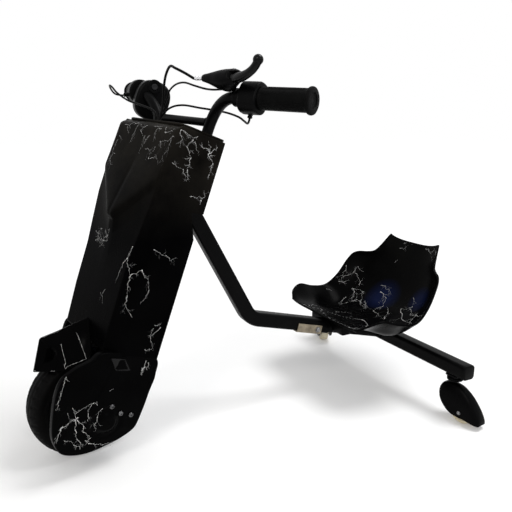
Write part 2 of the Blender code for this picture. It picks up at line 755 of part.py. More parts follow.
def fork_route(side):
    """Centre line of a fork tube, from its foot straight up and round into the handlebar."""
    outward = bar_outward(side)
    end = bar_matrix(side).translation
    foot = Vector((side * FORK_SPACING, 0, FORK_FOOT_Z))
    low = Vector((side * FORK_SPACING, 0, BEND_START_Z))
    high = end - outward * ((BAR_REACH - BEND_WIDTH) / math.cos(BAR_SWEEP))
    bend = bezier(low, low + Vector((0, 0, BEND_PULL_LOW)), high - outward * BEND_PULL_HIGH, high, BEND_STEPS)
    return [foot] + bend + [end - outward * BAR_RECESS]


def build_fork_tube(side, steering, mats):
    """Tube from the dropout up through both crowns and round into the handlebar."""
    label = SIDE_NAME[side]
    section = circle(FORK_TUBE_RADIUS, TUBE_SIDES)
    tube = carried(f"fork_tube_{label}", fork_route(side), section, mats["frame"], steering)
    join(tube, build_dropout(side, steering, mats))
    for tab in fork_tabs(side, steering, mats):
        join(tube, tab)
    at = Vector((side * DROPOUT_X, -FORK_OFFSET, 0))
    reach = Vector((DROPOUT_THICKNESS / 2 + OVER, 0, 0))
    cut(tube, rod(f"axle_hole_{label}", at - reach, at + reach, AXLE_RADIUS + GAP, mats["frame"], steering,
                  TUBE_SIDES))


def tube_hole(name, side, low, high, steering, mats):
    """Cutter for the hole that a fork tube passes through."""
    at = Vector((side * FORK_SPACING, 0, 0))
    up = Vector((0, 0, 1))
    return rod(f"{name}_{SIDE_NAME[side]}", at + up * low, at + up * high, FORK_TUBE_RADIUS + GAP,
               mats["frame"], steering, TUBE_SIDES)


def build_crown(label, level, steering, mats):
    """Plate that ties both fork tubes to the steerer."""
    reach = FORK_SPACING + FORK_TUBE_RADIUS + CROWN_EDGE
    top = level + CROWN_THICKNESS
    crown = block(f"{label}_crown", (-reach, -CROWN_DEPTH / 2, level), (reach, CROWN_DEPTH / 2, top),
                  mats["frame"], steering)
    for side in SIDE_NAME:
        cut(crown, tube_hole(f"{label}_crown_hole", side, level - OVER, top + OVER, steering, mats))
    cut(crown, rod(f"{label}_crown_bore", (0, 0, level - OVER), (0, 0, top + OVER), STEERER_RADIUS + GAP,
                   mats["frame"], steering))


def build_fork(steering, mats):
    """Two long tubes from the axle to the grips, two crowns and the steerer between them."""
    for side in SIDE_NAME:
        build_fork_tube(side, steering, mats)
    bore = STEERER_RADIUS + GAP
    bearing_low = LOWER_CROWN_Z + CROWN_THICKNESS + GAP
    head_low = bearing_low + BEARING_HEIGHT + GAP
    head_high = head_low + HEAD_TUBE_LENGTH
    crown_high = head_high + BEARING_HEIGHT + 2 * GAP
    steerer_top = crown_high + CROWN_THICKNESS + LOCKNUT_HEIGHT
    build_crown("lower", LOWER_CROWN_Z, steering, mats)
    build_crown("upper", crown_high, steering, mats)
    rod("steerer_tube", (0, 0, LOWER_CROWN_Z - STEERER_STUB), (0, 0, steerer_top), STEERER_RADIUS,
        mats["steel"], steering)
    for label, low in (("lower", bearing_low), ("upper", head_high + GAP)):
        ring(f"{label}_bearing", (0, 0, low), (0, 0, low + BEARING_HEIGHT), HEAD_TUBE_RADIUS, bore,
             mats["steel"], steering)
    nut = crown_high + CROWN_THICKNESS + GAP
    nut_bore = bore / math.cos(math.pi / HEX)
    ring("steerer_locknut", (0, 0, nut), (0, 0, nut + LOCKNUT_HEIGHT - 2 * GAP), LOCKNUT_RADIUS, nut_bore,
         mats["steel"], steering, HEX)
    reach = Vector((FORK_SPACING, 0, 0))
    level = Vector((0, 0, CROSSBAR_Z))
    left = level + reach
    right = level - reach
    bar = rod("handlebar_crossbar", right, left, CROSSBAR_RADIUS, mats["frame"], steering, TUBE_SIDES)
    seat = circle(FORK_TUBE_RADIUS + GAP, TUBE_SIDES)
    for side, label in SIDE_NAME.items():
        cut(bar, carried(f"crossbar_seat_{label}", fork_route(side), seat, mats["frame"], steering))
    return head_low, head_high


def build_grip(name, line, side, mats):
    """Ribbed rubber sleeve with a flange at its outer end, over the bar."""
    plain = circle(1.0, GRIP_RIBS * 2)
    rib = GRIP_RIB * (np.arange(GRIP_RIBS * 2) % 2)
    ribbed = plain * (GRIP_RADIUS + rib)[:, None]
    flange = plain * GRIP_FLANGE_RADIUS
    edge = plain * (GRIP_FLANGE_RADIUS - GRIP_FLANGE_EDGE)
    bore = plain * (FORK_TUBE_RADIUS + GAP)
    stations = ((0, edge), (-GRIP_FLANGE_EDGE, flange), (-GRIP_FLANGE_WIDTH, flange),
                (-GRIP_FLANGE_WIDTH, ribbed), (-GRIP_LENGTH, ribbed), (-GRIP_LENGTH, bore), (-BAR_RECESS, bore))
    return loft(name, [np.insert(section, 0, side * along, axis=1) for along, section in stations],
                mats["rubber"], line)


def bar_hole(name, line, low, high, mats):
    """Cutter for the hole that the bar passes through."""
    return rod(name, (low - OVER, 0, 0), (high + OVER, 0, 0), FORK_TUBE_RADIUS + GAP, mats["plastic"], line,
               TUBE_SIDES)


def build_left_controls(line, mats):
    """Switch housing with its horn button, then the brake perch with its lever and adjuster."""
    build_grip("grip_left", line, 1, mats)
    outer = -GRIP_LENGTH - GAP
    inner = outer - HOUSING_WIDTH
    middle = Vector(((inner + outer) / 2, 0, 0))
    depth = HOUSING_DEPTH / 2
    outline = rounded_box(depth, HOUSING_HEIGHT / 2, HOUSING_ROUNDNESS)
    housing = prism("switch_housing", outline, 0, inner, outer, mats["plastic"], line)
    cut(housing, bar_hole("switch_housing_hole", line, inner, outer, mats))
    button = middle + Vector((0, depth - BUTTON_EDGE, HORN_BUTTON_Z))
    back = Vector((0, 1, 0))
    pocket = rod("horn_button_pocket", button - back * HORN_POCKET_DEPTH, button + back * 2 * OVER,
                 BUTTON_RADIUS + GAP, mats["plastic"], line, TUBE_SIDES)
    cut(housing, pocket)
    spot = empty("horn_button_line", line, Matrix.Translation(button))
    rod("horn_button", -back * HORN_BUTTON_SIZE[0], back * HORN_BUTTON_SIZE[1], BUTTON_RADIUS, mats["button"],
        spot, TUBE_SIDES, BUTTON_EDGE)
    mouth = middle + SWITCH_GLAND
    join(housing, rod("switch_gland", mouth - SWITCH_RUN * GLAND_LENGTH, mouth, GLAND_RADIUS, mats["plastic"],
                      line, SMALL_SIDES))
    clamp_middle = Vector((inner - GAP - CLAMP_WIDTH / 2, 0, 0))
    build_perch(clamp_middle, line, mats)
    return {"switch_lead": (mouth, SWITCH_RUN), "brake_cable": (clamp_middle + ADJUSTER_END,
                                                                Vector((-1, 0, 0)))}


def build_perch(middle, line, mats):
    """Clamp round the bar with a teardrop arm, the lever on its pin, and the adjuster at the arm's tip."""
    reach = Vector((CLAMP_WIDTH / 2, 0, 0))
    pivot = middle + LEVER_PIVOT
    barrel_end = middle + ADJUSTER_END
    barrel_start = barrel_end + Vector((ADJUSTER_LENGTH, 0, 0))
    clamp = rod("brake_perch", middle - reach, middle + reach, FORK_TUBE_RADIUS + CLAMP_WALL, mats["plastic"],
                line, TUBE_SIDES)
    round_section = circle(1.0, SMALL_SIDES)
    rings = []
    for x, y, z, wide, high in PERCH_STATIONS:
        rings.append([pivot + Vector((x, y + u * wide, z + v * high)) for u, v in round_section])
    tip = barrel_start + Vector((GAP, 0, 0))
    rings.append([tip + Vector((0, u, v)) * PERCH_TIP_RADIUS for u, v in round_section])
    join(clamp, loft("brake_perch_arm", rings, mats["plastic"], line))
    cut(clamp, bar_hole("brake_perch_hole", line, middle.x - CLAMP_WIDTH, middle.x + CLAMP_WIDTH, mats))
    cut(clamp, block("brake_lever_slot", pivot + LEVER_SLOT_LOW, pivot + LEVER_SLOT_HIGH, mats["plastic"],
                     line))
    low = pivot - Vector((0, 0, PIN_REACH[0]))
    high = pivot + Vector((0, 0, PIN_REACH[1]))
    past = Vector((0, 0, OVER))
    cut(clamp, rod("lever_pin_hole", low - past, high + past, PIN_RADIUS + GAP, mats["steel"], line,
                   SMALL_SIDES))
    rod("lever_pin", low, high, PIN_RADIUS, mats["steel"], line, SMALL_SIDES)
    build_lever(empty("brake_lever_pivot", line, Matrix.Translation(pivot)), mats)
    ring("cable_adjuster", barrel_start, barrel_end, ADJUSTER_RADIUS, CABLE_RADIUS / 2, mats["chrome"], line,
         SMALL_SIDES)


def build_lever(pivot, mats):
    """Brake lever: an eye on the pin, a bent blade and a ball end."""
    near_tip = Vector([along * share for along, share in zip(LEVER_TIP, LEVER_PULL_SHARE)])
    path = bezier(Vector((0, 0, 0)), LEVER_PULL, near_tip, LEVER_TIP, LEVER_STEPS)
    blade = carried("brake_lever", path, circle(LEVER_RADIUS, SMALL_SIDES), mats["lever"], pivot)
    half = Vector((0, 0, LEVER_RADIUS - GAP))
    join(blade, rod("brake_lever_eye", -half, half, LEVER_EYE_RADIUS, mats["lever"], pivot, TUBE_SIDES))
    join(blade, ball("brake_lever_ball", LEVER_TIP, LEVER_BALL_RADIUS, mats["lever"], pivot))
    past = Vector((0, 0, LEVER_RADIUS + OVER))
    cut(blade, rod("brake_lever_hole", -past, past, PIN_RADIUS + GAP, mats["lever"], pivot, SMALL_SIDES))


def ball(name, centre, radius, finish, parent, steps=8):
    """A round ball, turned about Z."""
    profile = [(radius * math.sin(math.pi * k / steps),
                -radius * math.cos(math.pi * k / steps)) for k in range(steps + 1)]
    profile[0] = (0, -radius)
    profile[-1] = (0, radius)
    return turned(name, centre, (0, 0, 1), profile, finish, parent, SMALL_SIDES)


def build_right_controls(line, mats):
    """Twist grip, its housing, and the display box inboard of it."""
    build_grip("throttle_grip", empty("throttle_line", line), -1, mats)
    outer = GRIP_LENGTH + GAP
    inner = outer + HOUSING_WIDTH
    housing = rod("throttle_housing", (outer, 0, 0), (inner, 0, 0), HOUSING_HEIGHT / 2, mats["plastic"], line,
                  TUBE_SIDES, HOUSING_EDGE)
    mouth = Vector(((outer + inner) / 2, 0, 0)) + THROTTLE_GLAND
    join(housing, rod("throttle_gland", mouth - THROTTLE_RUN * GLAND_LENGTH, mouth, GLAND_RADIUS,
                      mats["plastic"], line, SMALL_SIDES))
    cut(housing, bar_hole("throttle_housing_hole", line, outer, inner, mats))
    start = inner + GAP
    end = start + DISPLAY_LENGTH
    outline = rounded_box(*DISPLAY_HALF, DISPLAY_ROUNDNESS) + DISPLAY_MIDDLE
    box = prism("display_box", outline, 0, start, end, mats["plastic"], line)
    hole = circle(FORK_TUBE_RADIUS + GAP, TUBE_SIDES)
    cut(box, carried("display_box_hole", fork_route(-1), hole, mats["plastic"], line.parent))
    at = Vector((end - DISPLAY_BUTTON_DEPTH, *DISPLAY_BUTTON_PLACE))
    out = Vector((1, 0, 0))
    cut(box, rod("power_button_pocket", at, at + out * 2 * DISPLAY_BUTTON_DEPTH, BUTTON_RADIUS + GAP,
                 mats["plastic"], line, TUBE_SIDES))
    spot = empty("power_button_line", line, Matrix.Translation(at))
    rod("power_button", out * POWER_BUTTON_SIZE[0], out * POWER_BUTTON_SIZE[1], BUTTON_RADIUS, mats["chrome"],
        spot, TUBE_SIDES, BUTTON_EDGE)
    return {"throttle_lead": (mouth, THROTTLE_RUN)}


def fairing_grid():
    """Skin from the left rear edge round the front to the right rear edge, row by row."""
    half = FAIRING_HALF_WIDTH
    grid = []
    for (middle_drop, side_drop, prow, lead), share in zip(FAIRING_ROWS, FAIRING_CORNERS):
        front_y = FAIRING_FRONT_Y - prow
        corner_y = FAIRING_FRONT_Y - lead
        middle_z = FAIRING_TOP_Z - middle_drop
        side_z = FAIRING_TOP_Z - side_drop
        corner_z = middle_z + (side_z - middle_z) * CREASE_SHARE * share
        side_y = FAIRING_SIDE_Y + (1 - share) * FAIRING_SIDE_SLOPE
        bulge = FAIRING_BULGE if share == 1 else 0
        right = [(0, front_y, middle_z), (PROW_STRIP, front_y, middle_z),
                 (half * share * PROW_MIDDLE_SHARE, (front_y + corner_y) / 2, (middle_z + corner_z) / 2),
                 (half * share, corner_y, corner_z), (half + bulge, side_y, side_z),
                 (half, FAIRING_WAIST_Y, side_z), (half, FAIRING_REAR_Y, side_z)]
        left = [(-x, y, z) for x, y, z in right[:0:-1]]
        grid.append(left + right)
    return np.array(grid)


def build_fairing(steering, mats):
    """Front shell open to the rear, with its top panel and its rear cover."""
    fairing = shell("front_fairing", fairing_grid(), FAIRING_WALL, mats["shell"], steering, 20)
    half = FAIRING_HALF_WIDTH
    for side, label in SIDE_NAME.items():
        low, high = sorted((side * (half - NOTCH_REACH), side * (half + NOTCH_REACH)))
        cut(fairing, prism(f"fairing_notch_{label}", WING_NOTCH, 0, low, high, mats["shell"], steering))
    level = FAIRING_TOP_Z + GAP
    front = FAIRING_FRONT_Y
    inset = half - TOP_PANEL_CORNER
    outline = [(-half, front + TOP_PANEL_CORNER), (-inset, front), (inset, front),
               (half, front + TOP_PANEL_CORNER),
               (half, FAIRING_REAR_Y), (-half, FAIRING_REAR_Y)]
    panel = prism("fairing_top_panel", outline, 2, level, level + TOP_PANEL_THICKNESS, mats["shell"], steering)
    low = level - OVER
    high = level + TOP_PANEL_THICKNESS + OVER
    for side in SIDE_NAME:
        cut(panel, tube_hole("top_panel_hole", side, low, high, steering, mats))
    cut(panel, rod("top_panel_cable_hole", (*CABLE_HOLE, low), (*CABLE_HOLE, high), CABLE_HOLE_RADIUS,
                   mats["shell"], steering))
    wall = half - FAIRING_WALL - GAP - REAR_COVER_SLACK
    rear = FAIRING_REAR_Y - REAR_COVER_INSET
    base = FAIRING_TOP_Z - FAIRING_ROWS[-1][0]
    block("rear_cover", (-wall, rear - REAR_COVER_THICKNESS, base), (wall, rear, REAR_COVER_TOP), mats["shell"],
          steering)


def build_power(steering, mats):
    """Battery on the fork's inner tabs, with the motor's controller on top of it."""
    half = FORK_SPACING - FORK_TUBE_RADIUS - BATTERY_ROOM
    base = BATTERY_Z + GAP
    top = base + BATTERY_HEIGHT
    low = (-half, BATTERY_FRONT_Y, base)
    high = (half, BATTERY_REAR_Y, top)
    block("battery_pack", low, high, mats["battery"], steering, BATTERY_EDGE)
    low = (-CONTROLLER_HALF, CONTROLLER_FRONT_Y, top + GAP)
    high = (CONTROLLER_HALF, CONTROLLER_REAR_Y, LOWER_CROWN_Z - CONTROLLER_ROOM)
    block("motor_controller", low, high, mats["alloy"], steering, CONTROLLER_EDGE)


def cover_x(z):
    """How far out a cover's face lies: it leans in below its waist."""
    return COVER_X - COVER_TAPER * max(COVER_WAIST_Z - z, 0) / COVER_TAPER_HEIGHT


def build_side_cover(side, steering, mats):
    """Dished cover outside one fork leg, with the boss over the axle nut and its bolts."""
    label = SIDE_NAME[side]
    outline = COVER_OUTLINES[label]
    centre = outline.mean(axis=0)
    middle, face, rim, dish = COVER_INSETS
    stations = ((middle, 0), (face, 0), (1, COVER_EDGE), (1, COVER_FLANGE), (rim, COVER_FLANGE),
                (dish, COVER_WALL), (middle, COVER_WALL))
    rings = [[(side * (cover_x(centre[1]) - depth), *centre)] for depth in (0, COVER_WALL)]
    for inset, depth in stations:
        edge = centre + (outline - centre) * inset
        rings.append([(side * (cover_x(z) - depth), y, z) for y, z in edge])
    size = len(outline)
    starts = [2 + size * number for number in range(len(stations))]
    faces = []
    for hub, start in ((0, starts[0]), (1, starts[-1])):
        faces += [(hub, start + j, start + (j + 1) % size) for j in range(size)]
    for start, end in zip(starts, starts[1:]):
        faces += band(start, end, size)
    cover = mesh_object(f"side_cover_{label}", np.vstack(rings), faces, mats["shell"], steering, 25)
    at = (side * (cover_x(0) - BOSS_SINK), -FORK_OFFSET, 0)
    profile = [(0, 0), *BOSS_PROFILE, (0, BOSS_PROFILE[-1][1])]
    join(cover, turned(f"axle_boss_{label}", at, (side, 0, 0), profile, mats["shell"], steering))
    cut(cover, tube_hole("cover_tube_hole", side, FORK_FOOT_Z - OVER, outline[:, 1].max() + OVER, steering,
                         mats))
    for number, (y, z) in enumerate(COVER_BOLTS[label], 1):
        start = Vector((side * (cover_x(z) + COVER_BOLT_LIFT), y, z))
        end = start + Vector((side * COVER_BOLT_HEIGHT, 0, 0))
        rod(f"cover_bolt_{label}_{number}", start, end, COVER_BOLT_RADIUS, mats["chrome"], steering, HEX)


def build_fender(steering, mats):
    """Mudguard with a sharp prow and a ridge along its middle; a lamp is sunk in each side of the prow."""
    front = -FORK_OFFSET - TYRE_RADIUS
    back = FAIRING_FRONT_Y - FENDER_SLACK
    ridge = [(0, front + y, TYRE_RADIUS + z) for y, z in FENDER_RIDGE]
    ridge.append((0, back, TYRE_RADIUS + FENDER_TOP_RISE))
    x, y, z = FENDER_SKIRT
    edge = [(x, front + y, TYRE_RADIUS + z)] + [(x, back, TYRE_RADIUS + z) for x, z in FENDER_BACK]
    skirts = [[(side * x, y, z) for x, y, z in edge] for side in SIDE_NAME]
    inside = (0, front + FENDER_INSIDE[0], TYRE_RADIUS + FENDER_INSIDE[1])
    points = ridge + skirts[0] + skirts[1] + [inside]
    last = len(points) - 1
    left = len(ridge)
    right = left + len(edge)
    faces = []
    for first in (left, right):
        faces.append((0, 1, 2, first))
        faces.append((2, 3, first + 1, first))
        faces.append((3, 4, first + 2, first + 1))
        faces.append((0, first, last))
        faces.append((first, first + 1, last))
        faces.append((first + 1, first + 2, last))
    faces.append((4, left + 2, right + 2))
    faces.append((left + 2, right + 2, last))
    fender = mesh_object("front_fender", points, faces, mats["shell"], steering, 15)
    reach = Vector((ARCH_HALF_WIDTH, 0, 0))
    at = Vector((0, -FORK_OFFSET, 0))
    cut(fender, rod("wheel_arch", at - reach, at + reach, TYRE_RADIUS + WHEEL_CLEARANCE, mats["shell"],
                    steering, 2 * FINE_SIDES))
    crown = np.array([0, TYRE_RADIUS])
    sunk = front + LAMP_DEPTH
    for side, label in SIDE_NAME.items():
        mirror = np.array([side, 1])
        arch = (LAMP_ARCH + crown) * mirror
        cut(fender, prism(f"lamp_opening_{label}", arch, 1, front + LAMP_FRONT, sunk, mats["shell"], steering))
        lens = (LAMP_CENTRE + (LAMP_ARCH - LAMP_CENTRE) * LENS_SHARE + crown) * mirror
        prism(f"headlamp_lens_{label}", lens, 1, sunk - LENS_THICKNESS, sunk - GAP, mats["lens"], steering)


def build_frame(kart, mats, head_low, head_high):
    """Bent main tube with a bored rear end, the head tube, and the clamp on the sleeve."""
    rear = slide_matrix(SLEEVE_END_Y).translation
    bend = arc_corner(FRAME_HEAD, FRAME_BEND, rear, BEND_RADIUS)
    section = rounded_square(TUBE_SIZE / 2, TUBE_CORNER)
    tube = carried("main_frame_tube", [FRAME_HEAD] + bend + [rear], section, mats["frame"], kart)
    head = empty("head_tube_line", kart, steering_matrix(0))
    low = (0, 0, head_low - SEAT_CUT_REACH)
    high = (0, 0, head_high + SEAT_CUT_REACH)
    cut(tube, rod("head_tube_seat", low, high, HEAD_TUBE_RADIUS + GAP, mats["frame"], head))
    inside = rounded_square(TUBE_SIZE / 2 - TUBE_WALL, TUBE_CORNER - TUBE_WALL)
    bore = [slide_matrix(y).translation for y in (SLEEVE_BORE_Y, SLEEVE_END_Y + OVER)]
    cut(tube, carried("sleeve_bore", bore, inside, mats["frame"], kart))
    ring("head_tube", (0, 0, head_low), (0, 0, head_high), HEAD_TUBE_RADIUS, HEAD_TUBE_RADIUS - HEAD_TUBE_WALL,
         mats["frame"], head)
    build_clamp(kart, mats)


def build_clamp(kart, mats):
    """Plated channel under the sleeve's end, with a bolt at each side."""
    line = empty("sleeve_clamp_line", kart, slide_matrix(CLAMP_Y))
    inner = TUBE_SIZE / 2 + GAP
    outer = inner + CLAMP_SHEET
    outline = [(-outer, CLAMP_RISE), (-outer, -outer), (outer, -outer), (outer, CLAMP_RISE),
               (inner, CLAMP_RISE), (inner, -inner), (-inner, -inner), (-inner, CLAMP_RISE)]
    prism("sleeve_clamp", outline, 1, -CLAMP_HALF_LENGTH, CLAMP_HALF_LENGTH, mats["zinc"], line)
    for side, label in SIDE_NAME.items():
        start = Vector((side * (outer + GAP), *SLEEVE_BOLT_PLACE))
        end = start + Vector((side * SLEEVE_BOLT_HEIGHT, 0, 0))
        rod(f"sleeve_bolt_{label}", start, end, SLEEVE_BOLT_RADIUS, mats["steel"], line, HEX)


def build_rear(slide, rear_line, centre, mats):
    """Inner slide tube, and the cross bar welded to it with its caster plates and end caps."""
    half = TUBE_SIZE / 2
    length = (BAR_Y - SLIDE_FRONT_Y) / math.cos(SLIDE_SLOPE)
    section = rounded_square(SLIDE_SIZE / 2, SLIDE_CORNER)
    tube = carried("rear_slide_tube", [Vector((0, 0, 0)), Vector((0, length, 0))], section, mats["frame"],
                   slide)
    reach = Vector((BAR_HALF_LENGTH, 0, 0))
    square = rounded_square(half, TUBE_CORNER)
    bar = carried("rear_cross_bar", [centre - reach, centre + reach], square, mats["frame"], rear_line)
    under = centre.z - half
    plate = CASTER_CUP_RADIUS - CASTER_PLATE_INSET
    for side, label in SIDE_NAME.items():
        x = side * CASTER_X
        low = (x - plate, BAR_Y - half + WELD, under - CASTER_PLATE)
        high = (x + plate, BAR_Y + half - WELD, under + WELD)
        join(bar, block(f"caster_plate_{label}", low, high, mats["frame"], rear_line))
    hollow = rounded_square(half - TUBE_WALL, TUBE_CORNER - TUBE_WALL)
    loose = rounded_square(half - TUBE_WALL - GAP, TUBE_CORNER - TUBE_WALL - GAP)
    for side, label in SIDE_NAME.items():
        out = Vector((side, 0, 0))
        mouth = centre + reach * side
        bore = [mouth - out * BAR_BORE_DEPTH, mouth + out * OVER]
        cut(bar, carried(f"cross_bar_bore_{label}", bore, hollow, mats["frame"], rear_line))
        lid = mouth + out * GAP
        cap = carried(f"bar_end_cap_{label}", [lid, lid + out * END_CAP], square, mats["plastic"], rear_line)
        join(cap, carried(f"bar_end_plug_{label}", [lid + out * WELD, lid - out * PLUG_LENGTH], loose,
                          mats["plastic"], rear_line))
    seat = Vector((SLIDE_SIZE, 0, 0))
    clear = rounded_square(half + GAP, TUBE_CORNER)
    cut(tube, carried("slide_tube_end", [centre - seat, centre + seat], clear, mats["frame"], rear_line))


def build_caster(side, rear_line, bar_level, mats):
    """Ball-race swivel under the bar, a hood over the wheel, the wheel and its axle bolt."""
    label = SIDE_NAME[side]
    under = bar_level - TUBE_SIZE / 2 - CASTER_PLATE - GAP
    turn = LEFT_CASTER_TURN if side == 1 else RIGHT_CASTER_TURN
    place = Matrix.Translation((side * CASTER_X, BAR_Y, under)) @ Matrix.Rotation(turn, 4, "Z")
    swivel = empty(f"caster_swivel_line_{label}", rear_line, place)
    radius = CASTER_CUP_RADIUS
    height = CASTER_CUP_HEIGHT
    slope_in, slope_up = CASTER_CUP_SLOPE
    profile = [(0, 0), (radius - slope_in, 0), (radius, slope_up), (radius, height - CASTER_CUP_EDGE),
               (radius - CASTER_CUP_EDGE, height), (0, height)]
    turned(f"caster_cup_{label}", (0, 0, -height), (0, 0, 1), profile, mats["steel"], swivel)
    axle = Vector((0, CASTER_TRAIL, CASTER_WHEEL_RADIUS - under))
    wheel_line = empty(f"caster_axle_line_{label}", swivel, Matrix.Translation(axle))
    half = CASTER_WHEEL_WIDTH / 2
    radius = CASTER_WHEEL_RADIUS
    hub_end = half + CASTER_HUB_STEP
    dished = half - CASTER_DISH_DEPTH
    inner, outer, rim = CASTER_DISH
    edge, shoulder = CASTER_TREAD_EDGE
    profile = [(CASTER_AXLE_RADIUS + GAP, hub_end), (CASTER_HUB_RADIUS, hub_end), (inner, dished),
               (outer, dished), (rim, half),
               (radius - edge, half), (radius - shoulder, half * SHOULDER_SHARE), (radius, half * CROWN_SHARE)]
    profile = [(reach, -x) for reach, x in profile] + profile[::-1]
    turned(f"caster_wheel_{label}", (0, 0, 0), (1, 0, 0), profile, mats["urethane"], wheel_line)
    build_hood(label, swivel, under, axle, mats)
    head = Vector((HOOD_HALF_WIDTH + GAP, 0, 0))
    tall = Vector((CASTER_NUT_HEIGHT, 0, 0))
    reach = head + tall / 2
    bolt = rod(f"caster_bolt_{label}", axle - reach, axle + reach, CASTER_AXLE_RADIUS - GAP, mats["steel"],
               swivel, SMALL_SIDES)
    join(bolt, rod(f"caster_nut_{label}", axle + head, axle + head + tall, CASTER_NUT_RADIUS, mats["steel"],
                   swivel, HEX))
    join(bolt, rod(f"caster_bolt_head_{label}", axle - head, axle - head - tall, CASTER_NUT_RADIUS,
                   mats["steel"], swivel, HEX))


def build_hood(label, swivel, under, axle, mats):
    """Teardrop hood that carries the axle: closed above and behind, open below."""
    half = HOOD_HALF_WIDTH
    top = -CASTER_CUP_HEIGHT - GAP
    rear_y, front_y = HOOD_TOP
    edge = [(y, height - under) for y, height in HOOD_BACK + HOOD_FRONT]
    hood = prism(f"caster_hood_{label}", [(rear_y, top)] + edge + [(front_y, top)], 0, -half, half,
                 mats["hood"], swivel)
    soft = hood.modifiers.new("edge", "BEVEL")
    soft.width = HOOD_EDGE
    soft.segments = 2
    soft.limit_method = "ANGLE"
    soft.angle_limit = math.radians(40)
    inner = Vector((CASTER_WHEEL_WIDTH / 2 + CASTER_CLEARANCE, 0, 0))
    room = CASTER_WHEEL_RADIUS + CASTER_CLEARANCE
    cut(hood, rod(f"caster_well_{label}", axle - inner, axle + inner, room, mats["hood"], swivel))
    reach = Vector((half + OVER, 0, 0))
    cut(hood, rod(f"caster_axle_hole_{label}", axle - reach, axle + reach, CASTER_AXLE_RADIUS, mats["hood"],
                  swivel, SMALL_SIDES))


def seat_grid(centre):
    """Each row runs from the right rim through the middle line to the left rim on a flat-bottomed curve."""
    across = np.linspace(-1, 1, SEAT_COLUMNS)
    rise = np.abs(across) ** SEAT_FLATNESS
    spread = np.sin(across * math.pi / 2) * SEAT_SPREAD + across * (1 - SEAT_SPREAD)
    grid = []
    for (y, z), (rim_x, rim_y, rim_z) in zip(SEAT_MIDDLE, SEAT_RIM):
        grid.append(np.column_stack([rim_x * spread, y + (rim_y - y) * rise, z + (rim_z - z) * rise]))
    return np.array(grid) + np.array(centre)


def build_seat(rear_line, centre, mats):
    """Bucket seat on a plate and two posts that stand on the slide tube."""
    shell("seat_shell", seat_grid(centre)[::-1], SEAT_WALL, mats["shell"], rear_line, 40)
    top = centre.z + SEAT_MIDDLE[:, 1].min() - SEAT_WALL - 2 * GAP
    low = top - SEAT_PLATE
    front = BAR_Y + SEAT_PLATE_FRONT
    rear = BAR_Y + SEAT_PLATE_REAR
    bracket = block("seat_bracket", (-SEAT_PLATE_HALF, front, low), (SEAT_PLATE_HALF, rear, top), mats["frame"],
                    rear_line)
    rise = SLIDE_SIZE / 2 / math.cos(SLIDE_SLOPE) + GAP
    for number, start in enumerate((front + SEAT_POST_INSET, rear - SEAT_POST_INSET - SEAT_POST), 1):
        end = start + SEAT_POST
        near = slide_matrix(start).translation.z + rise
        far = slide_matrix(end).translation.z + rise
        outline = [(start, near), (end, far), (end, low + WELD), (start, low + WELD)]
        join(bracket, prism(f"seat_post_{number}", outline, 0, -SLIDE_SIZE / 2, SLIDE_SIZE / 2, mats["frame"],
                            rear_line))


def build_cables(mouths, steering, mats):
    """Brake cable, switch lead and throttle lead, each from its mouth down through the top panel."""
    cords = (("brake_cable", CABLE_RADIUS, 1, BRAKE_ROUTE), ("switch_lead", LEAD_RADIUS, 1, SWITCH_ROUTE),
             ("throttle_lead", LEAD_RADIUS, -1, THROTTLE_ROUTE))
    for name, radius, side, route in cords:
        mouth, run = mouths[name]
        start = [bar_matrix(side) @ (mouth + run * reach) for reach in (GAP, 2 * radius)]
        rest = [Vector(point) + Vector((0, 0, FAIRING_TOP_Z)) for point in route]
        cable(name, start + rest, radius, mats["cable"], steering)


def finishes():
    return {
        "shell": material("printed gloss shell", (0.012, 0.012, 0.013), 0.22),
        "frame": material("matt black paint", (0.018, 0.018, 0.019), 0.5, 0.2),
        "steel": material("bright steel", (0.45, 0.45, 0.46), 0.35, 1.0),
        "chrome": material("chrome", (0.75, 0.75, 0.77), 0.12, 1.0),
        "zinc": material("yellow zinc plate", (0.62, 0.5, 0.33), 0.35, 0.8),
        "alloy": material("cast alloy", (0.3, 0.3, 0.31), 0.45, 1.0),
        "motor": material("motor shell", (0.03, 0.03, 0.032), 0.4, 0.6),
        "tyre": material("tyre rubber", (0.014, 0.014, 0.014), 0.75),
        "rubber": material("grip rubber", (0.016, 0.016, 0.017), 0.6),
        "plastic": material("black plastic", (0.014, 0.014, 0.015), 0.42),
        "hood": material("caster hood plastic", (0.013, 0.013, 0.014), 0.3),
        "button": material("red button", (0.35, 0.02, 0.02), 0.35),
        "lever": material("lever coating", (0.015, 0.015, 0.016), 0.35, 0.3),
        "lens": material("lamp lens", (0.02, 0.02, 0.022), 0.08),
        "urethane": material("clear urethane", (0.62, 0.55, 0.4), 0.3),
        "battery": material("battery wrap", (0.03, 0.06, 0.2), 0.4),
        "cable": material("cable jacket", (0.012, 0.012, 0.012), 0.5),
    }


def centre_kart(kart):
    """Stands the kart on the floor with its bounding box over the origin."""
    graph = bpy.context.evaluated_depsgraph_get()
    corners = []
    for made in bpy.data.objects:
        if made.type == "EMPTY" or made.hide_render:
            continue
        shape = made.evaluated_get(graph)
        mesh = shape.to_mesh()
        points = np.array([shape.matrix_world @ vertex.co for vertex in mesh.vertices])
        corners += [points.min(axis=0), points.max(axis=0)]
        shape.to_mesh_clear()
    low = np.min(corners, axis=0)
    high = np.max(corners, axis=0)
    middle = (low + high) / 2
    kart.location = (-middle[0], -middle[1], -low[2])
    bpy.context.view_layer.update()


